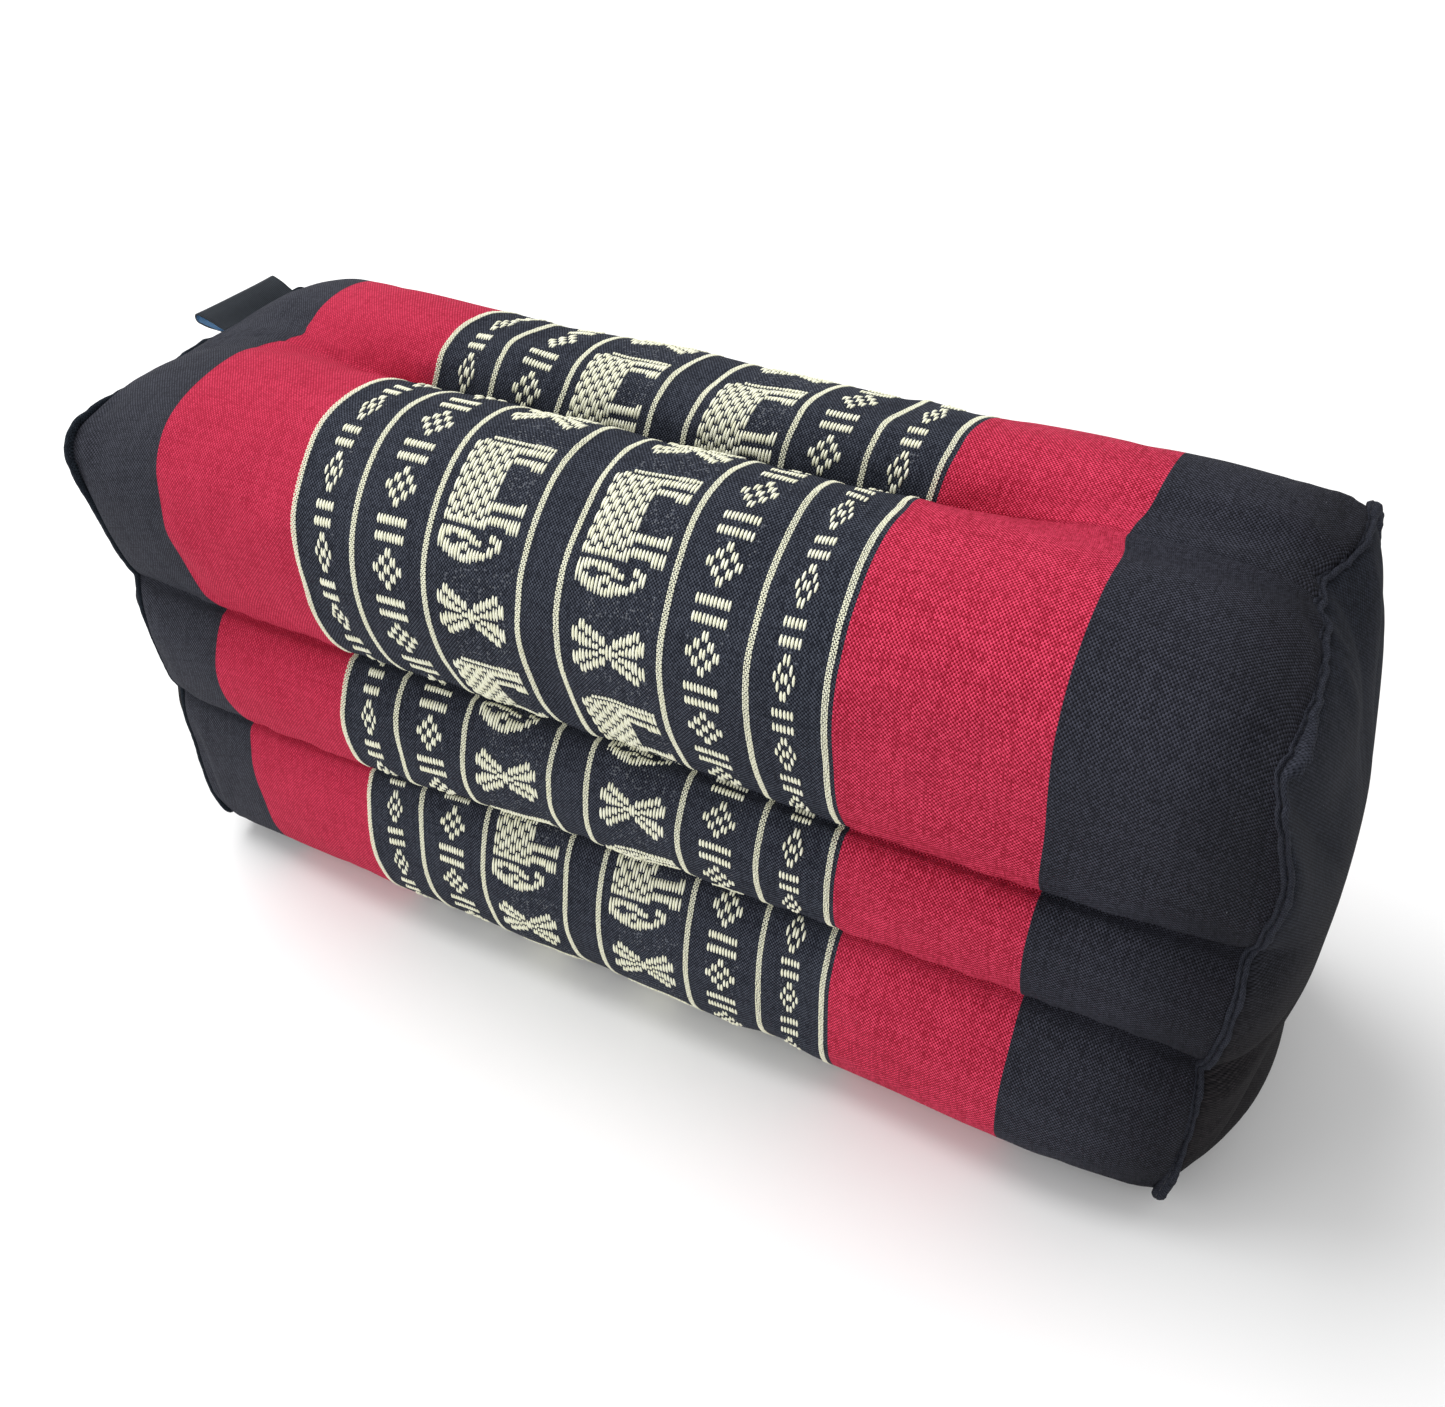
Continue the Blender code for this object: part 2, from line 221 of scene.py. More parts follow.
def wrap_points(channel, t, u):
    """Points of the wrap in millimetres, t down the channel and u along the block."""
    t, u = np.broadcast_arrays(t, u)
    back = channel > 2
    kind = 5 - channel if back else channel
    if back:
        t = 1.0 - t
    mid_y, mid_z, seam_y, seam_z, right_out, left_out = spline(HALF_SECTION[kind], t)
    full = np.sqrt(np.maximum(0.0, 1.0 - np.abs(u) ** END_ROUNDING))
    if back:
        mid_y = mid_y * BACK_WIDTH
        if kind == 0:
            rise = BACK_RISE[0] + (BACK_RISE[1] - BACK_RISE[0]) * ease(np.abs(u), *BACK_RISE_SPAN)
            mid_z = mid_z + rise * np.sin(math.pi * np.minimum(1.0, t / BACK_REACH)) ** 2
    y = seam_y + (mid_y - seam_y) * full
    z = seam_z + (mid_z - seam_z) * full
    if back:
        y = -y
    else:
        dy, dz = unevenness(kind, t, u, z)
        y = y + dy * full
        z = z + dz * full
    if kind == 0:
        shift = VALLEY_SHIFT[0] + (VALLEY_SHIFT[1] - VALLEY_SHIFT[0]) * np.maximum(u, 0.0)
        y = y + shift * np.maximum(0.0, 1.0 - t / VALLEY_REACH) ** 2
        z = z - END_DROP * ease(-u, *END_SPANS[0]) * ease(z, *END_SPANS[1])
    out = np.where(u > 0, right_out, -left_out)
    x = u * HALF_SEAM + out * np.abs(u) ** SEAM_PULL
    return np.stack([x, y, np.maximum(z, 0.0)], -1)


def spread_columns(count):
    """Places along the block, closer together towards its ends."""
    w = np.linspace(-1.0, 1.0, count + 1)
    return 0.5 * w + 0.5 * np.sin(0.5 * math.pi * w)


def wrap_grid(u, faces=CHANNEL_FACES):
    """Every row of the wrap at each u: rows x columns x 3."""
    return np.concatenate([wrap_points(channel, (np.arange(n) / n)[:, None], u[None, :])
                           for channel, n in enumerate(faces)])


COLUMN_U = spread_columns(COLUMNS)
base = wrap_grid(COLUMN_U)
# Length round the block from the top valley to each row. One row more than the grid has
# closes the loop.
arcs = lengths_along(looped(base))
BACK_LENGTH = arcs[-1]

# How much cloth the creases and seams take in, in millimetres: grid row (front positive, back
# negative), then one value for each place along the block.
TUCK_AT = (-69.0, -50.0, -25.0, 13.0, 36.0, 56.0)
TUCKS = (
    (-96.5, (-10.0, -10.5, -11.5, -10.5, -10.5, -10.0)),
    (-92.5, (-5.0, -6.0, -7.0, -6.0, -6.0, -5.0)),
    (-70.5, (-5.0, -6.0, -7.0, -6.0, -6.0, -5.0)),
    (-66.5, (-0.5, -1.8, -3.0, -1.8, -1.5, -0.7)),
    (-22.0, (-0.3, -1.6, -3.8, -2.1, -1.5, -0.6)),
    (-8.0, (0.3, -0.7, -1.6, -1.0, 0.0, 0.3)),
    (7.0, (-3.0, -3.4, -2.6, -0.3, 0.6, -1.4)),
    (13.5, (-4.2, -4.4, -2.6, -0.3, 0.8, -1.7)),
    (19.0, (-2.9, -2.5, -2.1, -0.2, 0.5, -0.9)),
    (25.0, (-2.8, -1.8, -1.7, 0.0, 0.4, -0.3)),
    (36.0, (-2.5, -1.7, -1.25, 0.3, 0.3, -0.3)),
    (54.0, (-2.8, -1.9, -0.9, 0.8, 0.8, -0.6)),
    (60.0, (-3.8, -3.7, -2.4, -0.6, 0.0, -2.2)),
    (66.5, (-3.9, -3.8, -2.6, -0.9, -0.4, -2.4)),
    (70.5, (1.0, 2.2, 2.6, 5.0, 4.5, 3.6)),
    (77.0, (1.15, 2.8, 3.05, 6.8, 6.9, 5.3)),
    (81.0, (1.2, 3.0, 3.6, 7.6, 8.0, 5.9)),
    (92.5, (1.2, 3.3, 3.9, 8.8, 8.5, 7.0)),
    (96.5, (5.6, 6.4, 6.6, 9.2, 11.6, 12.6)),
    (104.0, (6.9, 7.6, 7.0, 9.6, 12.0, 12.9)),
    (112.0, (6.9, 7.7, 6.9, 9.6, 11.8, 11.9)),
    (116.0, (6.9, 7.5, 7.3, 10.3, 11.5, 11.2)),
)


def cloth_lengths():
    """Cloth from the top valley to every row and column, with what the folds take in: once
    as the front counts it and once as the back does."""
    rows = np.arange(len(arcs))
    marked, taken = zip(*TUCKS)
    across = np.array([np.interp(COLUMN_U * HALF_SEAM, TUCK_AT, row) for row in taken])
    halves = []
    for first in (0, -rows[-1]):
        place = np.interp(rows + first, marked, np.arange(len(marked)))
        low = np.minimum(place.astype(int), len(marked) - 2)
        part = (place - low)[:, None]
        halves.append(arcs + across[low] * (1.0 - part) + across[low + 1] * part)
    return np.stack(halves)


lengths = cloth_lengths()

# How the sewn cloth's own stripes wander along the block, in millimetres. Over the crest:
# how far, where round the cloth and how wide, and how the last two change to the left.
CREST_DRIFT = (-2.5, 35.0, 18.0)
CREST_LEAN = (5.0, -4.0)
CREST_LEAN_SPAN = (60.0, 78.0)
CREST_LEFT = (0.25, (-125.0, -85.0))
CREST_RIGHT = (0.85, (20.0, 100.0))
# Down the rear of the crest: how far and its change along x, where it begins, and how long
# it takes, each with its change at the left end; then a second, further back.
REAR_DRIFT = (2.1, -0.019)
REAR_BEGINS = (-0.5, 0.07, 3.8)
REAR_TAKES = (18.0, -6.0)
REAR_LEFT = (85.0, 126.0)
REAR_MORE = (1.8, (22.0, 42.0), (70.0, 105.0))
# Smaller places: how far, where round the cloth and how wide, and on which side (-1 left,
# 1 right), from where along the block to where it is whole.
WANDER = (
    (1.5, -19.0, 11.0, -1, 85.0, 126.0),
    (2.2, -5.0, 4.0, -1, 85.0, 126.0),
    (1.1, 3.5, 3.5, -1, 85.0, 126.0),
    (-0.9, 12.0, 5.0, -1, 85.0, 126.0),
    (-2.4, 3.0, 15.0, 1, 20.0, 105.0),
    (-0.9, 18.0, 6.0, 1, 50.0, 66.0),
    (0.9, 18.0, 6.0, 1, 85.0, 113.0),
    (1.0, 94.0, 18.0, 1, 80.0, 113.0),
    (-2.0, 103.0, 13.0, -1, 30.0, 80.0),
)


def drift(x, v):
    """The wander at x and at length v round the block, front positive and back negative."""
    off_left = ease(x, *CREST_LEFT[1])
    lean = ease(-x, *CREST_LEAN_SPAN)
    far, middle, width = CREST_DRIFT
    out = far * bell(v, middle + CREST_LEAN[0] * lean, width + CREST_LEAN[1] * lean)
    out = out * (CREST_LEFT[0] + (1.0 - CREST_LEFT[0]) * off_left)
    out = out * (1.0 - CREST_RIGHT[0] * ease(x, *CREST_RIGHT[1]))
    at_left = ease(-x, *REAR_LEFT)
    begins = REAR_BEGINS[0] + REAR_BEGINS[1] * x + REAR_BEGINS[2] * at_left
    whole = begins + REAR_TAKES[0] + REAR_TAKES[1] * at_left
    out = out + (REAR_DRIFT[0] + REAR_DRIFT[1] * x) * ease(-v, begins, whole)
    far, reach, off_right = REAR_MORE
    out = out + far * ease(-v, *reach) * (off_left - ease(x, *off_right))
    for far, middle, width, side, low, high in WANDER:
        out = out + far * bell(v, middle, width) * ease(side * x, low, high)
    return out


def outward(closed):
    """Unit normals of a closed grid, pointing out of the block, and its steps round it."""
    ds = np.gradient(closed, axis=0)
    return facing_out(np.cross(ds, np.gradient(closed, axis=1)), closed), ds


class Surface:
    """The wrap as a sheet that can be asked for the point at (pattern x, cloth length v)."""

    def __init__(self, grid):
        self.grid = looped(grid)
        self.normals = outward(self.grid)[0]

    def ask(self, pattern_x, v):
        """The points and the normals there, for two arrays of one shape."""
        rows = np.arange(len(arcs))
        x = pattern_x + drift(pattern_x, v)
        for _ in range(2):
            j = np.interp(x / HALF_SEAM, COLUMN_U, np.arange(COLUMNS + 1))
            j0 = np.clip(j.astype(int), 0, COLUMNS - 1)
            fj = j - j0
            back = (v < lengths[0, 0, j0]).astype(int)
            behind = BACK_LENGTH[j0] * back
            i = np.interp(v + behind, arcs[:, COLUMNS // 2], rows)
            for _ in range(12):
                i0 = np.clip(i.astype(int), 0, len(rows) - 2)
                low, high = (lengths[back, k, j0] * (1 - fj) + lengths[back, k, j0 + 1] * fj
                             for k in (i0, i0 + 1))
                i = np.clip(i0 + (v + behind - low) / (high - low), 0, len(rows) - 1.001)
            i0 = np.clip(i.astype(int), 0, len(rows) - 2)
            arc = arcs[i0, j0] + (arcs[i0 + 1, j0] - arcs[i0, j0]) * (i - i0) - behind
            x = pattern_x + drift(pattern_x, arc)
        return between(self.grid, i, j), unit(between(self.normals, i, j))


# The valley between the two top puffs: rows on each side of it, how much it fades at the
# right and left end, and where.
CREST_ROWS = 17
VALLEY_FADE = ((1, 0.88, (0.32, 0.78)), (-1, 0.80, (0.42, 0.84)))
# How the end seams wander along X in the photograph: (row of the grid, millimetres).
SEAM_SHIFT = {
    1: ((-60, 0.0), (-45, 0.5), (-30, 0.0), (-14, -0.6), (-10, -1.4), (-6.5, -3.2), (-5, -4.8),
        (-3, -3.4), (-1, -2.9), (1.5, -3.8), (4, -1.6), (6.5, 0.6), (9, 0.2), (13, 1.3),
        (20, 1.1), (25, 0.9), (30, 1.7), (34, 1.2), (40, 2.4), (50, 2.5), (55, 1.6),
        (60, 0.8), (65, 1.3), (69, 0.5), (75, 2.3), (80, 1.8), (85, 0.9), (90, 0.8),
        (95, 0.0), (100, 0.3), (110, 0.9), (116, 0.5), (121, -0.5), (135, 0.0)),
    -1: ((25, 0.0), (38, 0.0), (50, 1.0), (60, 0.8), (68, 0.2), (76, 0.6), (92, 0.0)),
}
SEAM_SHIFT_SPAN = (0.925, 1.0)
# Where the left end's top edge sinks: depth, row, how many rows and where it begins.
CORNER_DROPS = ((3.6, -16.0, 12.0, 0.86), (2.2, -27.0, 7.0, 0.80), (1.2, 10.0, 9.0, 0.90))
# The creases: depth of the two seams of the halves and of the four folds, and how the cloth
# is gathered into the folds and puckers beside them.
CREASE_DEPTH = (0.5, 2.6)
CREASE_WIDTH = 1.5
GATHER = 1.2
GATHER_WIDTH = 2.2
PUCKER_DEPTH = 0.28
PUCKER_AT = 3.0
PUCKER_REACH = 7.0
# Faint pulls running from the end seams inwards, and slow dents between the creases.
END_PUCKER = 0.35
END_PUCKER_SPANS = ((118.0, 152.0), (152.0, 158.0))
DENT = 0.9
DENT_CALM = 9.0
# Where the cloth is drawn in by the end seams: along x, crease row, distance above the
# crease, depth and radius.
PITS = (
    (150.0, 34, 0.0, 1.7, 4.2), (150.0, 68, 8.0, 1.2, 4.5), (149.0, 94, 4.0, 0.8, 4.5),
    (-148.0, 68, 4.0, 0.9, 6.0), (150.0, 156, 8.0, 0.9, 6.0), (146.0, 244, -5.0, 1.4, 6.0),
    (-147.0, 244, -5.0, 1.4, 6.0), (147.0, 218, 4.0, 1.0, 5.0), (-148.0, 218, 4.0, 1.0, 5.0),
)
# The cloth simulation: its coarse grid and settings, the cloth cut a little large, how its
# slow swell is told from its wrinkles, and the most that each may move the wrap.
COARSE_FACES = (22, 9, 20, 20, 9, 22)
COARSE_COLUMNS = 70
CLOTH_SETTINGS = dict(
    quality=6, mass=0.25, tension_stiffness=20.0, compression_stiffness=20.0,
    shear_stiffness=6.0, bending_stiffness=0.3, shrink_min=-0.012, use_pressure=True,
    uniform_pressure_force=4.0, vertex_group_mass="held")
CLOTH_FRAMES = 20
CLOTH_SLOW = 0.15
CLOTH_SLOW_BLURS = 14
CLOTH_MOST = (1.3, 0.8)
FLOOR_CLEAR = 0.02


def bridged(grid):
    """The valley between the two top puffs fades out towards the ends."""
    rows = np.arange(-CREST_ROWS, CREST_ROWS + 1)
    q = (rows / CREST_ROWS)[:, None, None]
    strip = grid[rows]
    bridge = strip[0] * (1.0 - q) / 2 + strip[-1] * (1.0 + q) / 2
    fade = sum(share * ease(side * COLUMN_U, *span) for side, share, span in VALLEY_FADE)
    out = grid.copy()
    out[rows] = strip + (bridge - strip) * (1.0 - q ** 2) ** 2 * fade[None, :, None]
    return out


def blurred(field, times):
    """Smoothed along the block and round it."""
    for _ in range(times):
        field = 0.5 * field + 0.25 * (np.roll(field, 1, axis=0) + np.roll(field, -1, axis=0))
        padded = np.concatenate([field[:, :1], field, field[:, -1:]], axis=1)
        field = 0.5 * field + 0.25 * (padded[:, :-2] + padded[:, 2:])
    return field


def capped(moves, most):
    size = np.linalg.norm(moves, axis=-1, keepdims=True)
    return moves * most * np.tanh(size / most) / np.maximum(size, 1e-9)


def settled_moves():
    """How the filled cloth settles under pressure between its held creases and ends."""
    u = spread_columns(COARSE_COLUMNS)
    coarse = wrap_grid(u, COARSE_FACES)
    rows, columns = coarse.shape[:2]
    trial = new_object("trial", coarse.reshape(-1, 3), grid_faces(rows, columns).tolist())
    creases = np.cumsum((0,) + COARSE_FACES)
    held = np.zeros((rows, columns), bool)
    held[creases[:-1]] = held[:, [0, -1]] = True
    trial.vertex_groups.new(name="held").add(np.flatnonzero(held).tolist(), 1.0, "REPLACE")
    cloth = trial.modifiers.new("cloth", "CLOTH")
    for key, value in CLOTH_SETTINGS.items():
        setattr(cloth.settings, key, value)
    cloth.settings.effector_weights.gravity = 0.0
    cloth.collision_settings.use_collision = False
    for step in range(1, CLOTH_FRAMES + 1):
        bpy.context.scene.frame_set(step)
    result = trial.evaluated_get(bpy.context.evaluated_depsgraph_get())
    flat = np.empty(rows * columns * 3, np.float32)
    result.data.vertices.foreach_get("co", flat)
    moves = flat.reshape(coarse.shape) / MM - coarse
    bpy.data.objects.remove(trial)
    bpy.context.scene.frame_set(1)
    slow = blurred(moves, CLOTH_SLOW_BLURS)
    moves = capped(moves - slow, CLOTH_MOST[0]) + capped(CLOTH_SLOW * slow, CLOTH_MOST[1])
    # Over to the fine grid.
    row = np.concatenate([a + (b - a) * np.arange(n) / n
                          for a, b, n in zip(creases[:-1], creases[1:], CHANNEL_FACES)])
    column = np.interp(COLUMN_U, u, np.arange(columns))
    return blurred(between(looped(moves), row[:, None], column[None, :]), 3)


def shaped(grid):
    """The wrap with its stitched creases, puckers and shallow dents."""
    grid = bridged(grid)
    n, ds = (part[:-1] for part in outward(looped(grid)))
    x = grid[..., 0]
    s = arcs[:-1]
    move = np.zeros(x.shape)
    away_all = np.full(x.shape, 1e3)
    gather = np.zeros(x.shape)
    for k, row in enumerate(CHANNEL_EDGES):
        crease = arcs[row][None, :]
        away = np.abs(s - crease)
        away_all = np.minimum(away_all, away)
        folded = k % 3 > 0
        move -= CREASE_DEPTH[folded] * bell(away, 0.0, CREASE_WIDTH)
        near = (s - crease) / GATHER_WIDTH
        gather -= folded * GATHER * near * np.exp(0.5 - 0.5 * near ** 2)
        pucker = noise_wave(x, 40 + k % 6, 26.0)
        reach = PUCKER_REACH * (1.0 + 0.4 * noise_wave(x, 50 + k % 6, 70.0))
        move += PUCKER_DEPTH * pucker * bell(away, PUCKER_AT, reach)
    rising, falling = END_PUCKER_SPANS
    towards_end = ease(np.abs(x), *rising) * (1 - ease(np.abs(x), *falling))
    move += END_PUCKER * noise_wave(s, 61, 34.0) * towards_end
    move += DENT * noise_wave(x + 0.35 * s, 62, 150.0, 3) * noise_wave(
        s - 0.3 * x, 63, 95.0, 3) * (1.0 - bell(away_all, 0.0, DENT_CALM))
    for at_x, row, above, depth, radius in PITS:
        move -= depth * bell(np.hypot(x - at_x, s - (arcs[row][None, :] - above)), 0.0, radius)
    full = np.sqrt(np.maximum(0.0, 1.0 - np.abs(COLUMN_U) ** END_ROUNDING))[None, :]
    out = grid + n * (move * full)[..., None] + unit(ds) * (gather * full)[..., None]
    out += settled_moves()
    rows = (np.arange(len(out)) + len(out) // 2) % len(out) - len(out) // 2
    for side, marks in SEAM_SHIFT.items():
        shifts = np.interp(rows, *zip(*marks))
        shifts = 0.5 * shifts + 0.25 * (np.roll(shifts, 1) + np.roll(shifts, -1))
        out[..., 0] += shifts[:, None] * ease(side * COLUMN_U, *SEAM_SHIFT_SPAN)
    for drop, row, width, begins in CORNER_DROPS:
        out[..., 2] -= drop * bell(rows, row, width)[:, None] * ease(-COLUMN_U, begins, 1.0)
    # The cloth that rests on the floor stays flat on it.
    out[..., 2] = np.maximum(out[..., 2], FLOOR_CLEAR)
    return out


def dome_rings(seam, side, r, inset):
    """The seam loop drawn in to r on the domed end, repeated from part.py."""
    depth = inset * (1.0 + DOME_INSET[0] * r ** DOME_INSET[1])
    half_y, half_z, power = DOME_LOOP
    kinked = r ** DOME_RELAX
    x, y, z = seam.T
    rise = z - MID_HEIGHT
    smooth = (np.abs(y / half_y) ** power + np.abs(rise / half_z) ** power) ** (-1.0 / power)
    reach = r * (kinked + (1.0 - kinked) * smooth)
    across = y / HALF_DEPTH
    up = rise / HALF_HEIGHT
    edge = np.maximum(np.abs(across), np.abs(up))
    fall_y = 1.0 - np.abs(across / edge * r) ** DOME_FALL[0]
    fall_z = 1.0 - np.abs(up / edge * r) ** np.where(up > 0, DOME_FALL[1], DOME_FALL[2])
    bulge = DOME[side] * np.maximum(fall_y * fall_z, 0.0) ** DOME_POWER
    for sink, height, spread in DOME_DENTS:
        dent = bell(MID_HEIGHT + rise * reach, height, spread)
        bulge = bulge - sink * fall_y * dent * (1.0 - r ** DOME_DENT_FADE)
    seam_x = side * HALF_SEAM + (x - side * HALF_SEAM) * r * kinked
    return np.stack([seam_x + side * (bulge - depth), y * reach, MID_HEIGHT + rise * reach], -1)


def linked(name, data):
    """A new object of the scene."""
    made = bpy.data.objects.new(name, data)
    bpy.context.scene.collection.objects.link(made)
    return made


def new_object(name, verts, faces, uvs=None):
    mesh = bpy.data.meshes.new(name)
    mesh.from_pydata([tuple(p) for p in (np.asarray(verts) * MM).tolist()], [], faces)
    mesh.update()
    mesh.shade_smooth()
    if uvs is not None:
        layer = mesh.uv_layers.new(name="cloth")
        layer.data.foreach_set("uv", np.asarray(uvs, np.float32).ravel())
    return linked(name, mesh)


def grid_faces(rows, columns):
    """Quads of a grid whose last row joins its first."""
    index = looped(np.arange(rows * columns).reshape(rows, columns))
    return np.stack([index[:-1, :-1], index[1:, :-1], index[1:, 1:], index[:-1, 1:]],
                    -1).reshape(-1, 4)


def ring_faces(index):
    """Quads between rows of vertex numbers, each row a closed ring."""
    after = np.roll(index, -1, axis=1)
    return np.stack([index[:-1], after[:-1], after[1:], index[1:]], -1).reshape(-1, 4)


# The wrap's own ends, hidden under the end panels.
CAP_RINGS = (0.97, 0.85, 0.6, 0.3)
CAP_INSET = 2.4
CAP_UV = (150.0, 0.0)


def make_wrap(grid):
    """The filled wrap, closed at each end under the end panels."""
    rows, columns = grid.shape[:2]
    x = looped(grid)[..., 0]
    on_front = np.arange(rows + 1)[:, None] <= FRONT_ROWS
    pattern_x = x - drift(x, np.where(on_front, arcs, arcs - BACK_LENGTH))
    cloth = np.where(np.arange(rows)[:, None, None] < FRONT_ROWS,
                     np.stack([lengths[0][:-1], lengths[0][1:]], 1),
                     np.stack([lengths[1][:-1], lengths[1][1:]], 1) - BACK_LENGTH)
    corners = [np.stack([pattern_x[down:down + rows, right:right + columns - 1],
                         cloth[:, down, right:right + columns - 1]], -1)
               for down, right in ((0, 0), (1, 0), (1, 1), (0, 1))]
    uvs = np.stack(corners, 2).reshape(-1, 2)
    verts = [grid.reshape(-1, 3)]
    faces = grid_faces(rows, columns).tolist()
    count = rows * columns
    for side, column in ((-1, 0), (1, columns - 1)):
        seam = grid[:, column]
        ring = np.arange(rows) * columns + column
        for r in CAP_RINGS:
            verts.append(dome_rings(seam, side, r, CAP_INSET))
            quads = ring_faces(np.stack([ring, count + np.arange(rows)]))
            faces += (quads if side > 0 else quads[:, ::-1]).tolist()
            ring = count + np.arange(rows)
            count += rows
        verts.append(dome_rings(seam, side, 0.0, CAP_INSET)[:1])
        tris = np.stack([ring, np.roll(ring, -1), np.full(rows, count)], -1)
        faces += (tris if side > 0 else tris[:, ::-1]).tolist()
        count += 1
    rest = sum(len(f) for f in faces) - len(uvs)
    return new_object("wrap", np.vstack(verts), faces, np.vstack([uvs, [CAP_UV] * rest]))


# Brocade, charted. Columns are COLUMN_PITCH apart and lengths are millimetres of
# cloth from the top of the repeat.
WARP_PITCH = 0.4335
WEFT_PITCH = 0.5225
COLUMN_PITCH = 0.867
ROW_PITCH = 2.09
REPEAT = 10 * ROW_PITCH
PICTURE_REPEAT = 3 * REPEAT
CHECK_FLOAT = 2.5
BAR_ROWS = (6.2, 8.2)
BAR_FLOAT = 2.4
# The elephant's body: pairs of columns in bricks, every other pair half a brick on.
BODY_PAIRS = 7
BODY_TOPS = {0: 2.5, 1: 1.5}
BODY_TOP = 1.9
BODY_END = (25.8, 0.05)
BRICKS = 7
BRICK_STARTS = (0.8, 1.8)
LAST_BRICK = (23.0, 23.85)
BRICK_GAP = 0.22
BRICK_LEAST = 0.8
# Its back and legs by columns and its head by pair of columns, with the threads in each.
BACK_AND_LEGS = (
    ((4, 17), ((0.25, 1.4),)), ((17, 22), ((-0.1, 1.75),)), ((22, 24), ((0.25, 1.4),)),
    ((14, 20), ((1.8, 4.2), (5.2, 7.3), (18.6, 21.0), (22.2, 24.7))),
    ((20, 22), ((1.8, 4.2), (5.2, 8.5), (18.6, 21.0), (22.2, 25.9))),
    ((22, 24), ((1.3, 4.6), (5.2, 8.5), (17.6, 21.2), (22.2, 25.9))),
)
HEAD = {
    0: ((27.0, 32.5),), 1: ((26.8, 29.5), (30.1, 33.5)), 2: ((26.9, 28.6), (31.0, 34.3)),
    3: ((26.9, 29.4), (30.3, 34.7)), 4: ((27.0, 29.3), (29.9, 32.0), (32.8, 34.9)),
    5: ((27.8, 30.2), (31.1, 34.8)), 6: ((28.8, 30.4), (31.3, 34.0)), 7: ((31.4, 33.4),),
    8: ((26.8, 29.0), (29.8, 32.4)), 9: ((27.5, 30.9),),
}
# The bow-tie between two elephants: its middle, and its leaves by pair of columns.
LEAF_MIDDLE = 48.1
LEAVES = (
    {1: (4.4, 7.1), 2: (3.3, 6.0), 3: (2.2, 4.9), 4: (1.3, 3.9)},
    {0: (1.3, 5.1), 1: (0.4, 3.9), 2: (0.3, 2.8), 3: (0.25, 1.7)},
)
LEAF_KNOT = {9: 0.75, 10: 0.75, 13: 0.75, 14: 0.75, 11: 2.0, 12: 2.0}


def both(pair, a, b):
    """One thread in each column of a pair."""
    return [(2 * pair, a, b), (2 * pair + 1, a, b)]


def body_bricks():
    floats = []
    for pair in range(BODY_PAIRS):
        cuts = list((np.arange(BRICKS) * 2 + BRICK_STARTS[pair % 2]) * ROW_PITCH)
        low = BODY_TOPS.get(pair, BODY_TOP)
        end = BODY_END[0] + BODY_END[1] * pair
        if pair % 2:
            cuts = [c for c in cuts if c < LAST_BRICK[0]] + [LAST_BRICK[1]]
        cuts = [c for c in cuts if low + BRICK_LEAST < c < end - BRICK_LEAST]
        starts = [low] + [c + BRICK_GAP for c in cuts]
        ends = [c - BRICK_GAP for c in cuts] + [end]
        for a, b in zip(starts, ends):
            floats += both(pair, a, b)
    return floats


def elephant():
    """A traditional woven elephant, lying along the cloth: tail first, head last."""
    floats = body_bricks()
    for columns, spans in BACK_AND_LEGS:
        floats += [(column, a, b) for column in range(*columns) for a, b in spans]
    for pair, spans in HEAD.items():
        for a, b in spans:
            floats += both(pair, a, b)
    return floats


def crossed_leaves():
    """The bow-tie between two elephants, the same both ways up."""
    floats = []
    for table in LEAVES:
        for pair, (a, b) in table.items():
            for p in (pair, 10 - pair):
                for column in (2 * p + 1, 2 * p + 2):
                    floats += [(column, LEAF_MIDDLE - b, LEAF_MIDDLE - a),
                               (column, LEAF_MIDDLE + a, LEAF_MIDDLE + b)]
    for column, half in LEAF_KNOT.items():
        floats.append((column, LEAF_MIDDLE - half, LEAF_MIDDLE + half))
    return floats


def diamond(columns, rows):
    """A checked diamond and its two bars, in one repeat."""
    floats = [(c, row * ROW_PITCH, row * ROW_PITCH + CHECK_FLOAT)
              for row, places in enumerate(rows) for c in places]
    for top in BAR_ROWS:
        floats += [(c, top * ROW_PITCH, top * ROW_PITCH + BAR_FLOAT) for c in range(columns)]
    return floats


# Lines and bands along the block, in pattern millimetres.
LINES = (-78.5, -60.2, -38.6, -11.6, -0.6, 26.3, 47.4, 65.5)
LINE_COLUMNS = 4
LINE_PITCH = 0.38
LINE_STEP = 1.045
LINE_FLOAT = 0.75
FRONT_END = 279.5
BACK_END = -272.0
PICTURE_TOP = 31.6
DIAMOND_TOP = 47.0
# Each kind of figure: its chart, its repeat and where one begins.
BIG = (diamond(10, ((4, 5), (2, 3, 6, 7), (0, 1, 4, 5, 8, 9), (2, 3, 6, 7), (4, 5))),
       REPEAT, DIAMOND_TOP)
SMALL = (diamond(6, ((2, 3), (1, 4), (0, 2, 3, 5), (1, 4), (2, 3))), REPEAT, DIAMOND_TOP)
PICTURE = (elephant() + crossed_leaves(), PICTURE_REPEAT, PICTURE_TOP)
# Left edge of the first column, and the figure.
BANDS = ((-72.0, SMALL), (-53.8, BIG), (-35.6, PICTURE), (2.6, PICTURE), (32.2, BIG),
         (53.4, SMALL))
# Width, height and stations along each thread.
BAND_THREAD = (0.80, 0.34, 4)
LINE_THREAD = (0.40, 0.20, 2)
THREAD_SINK = 0.12
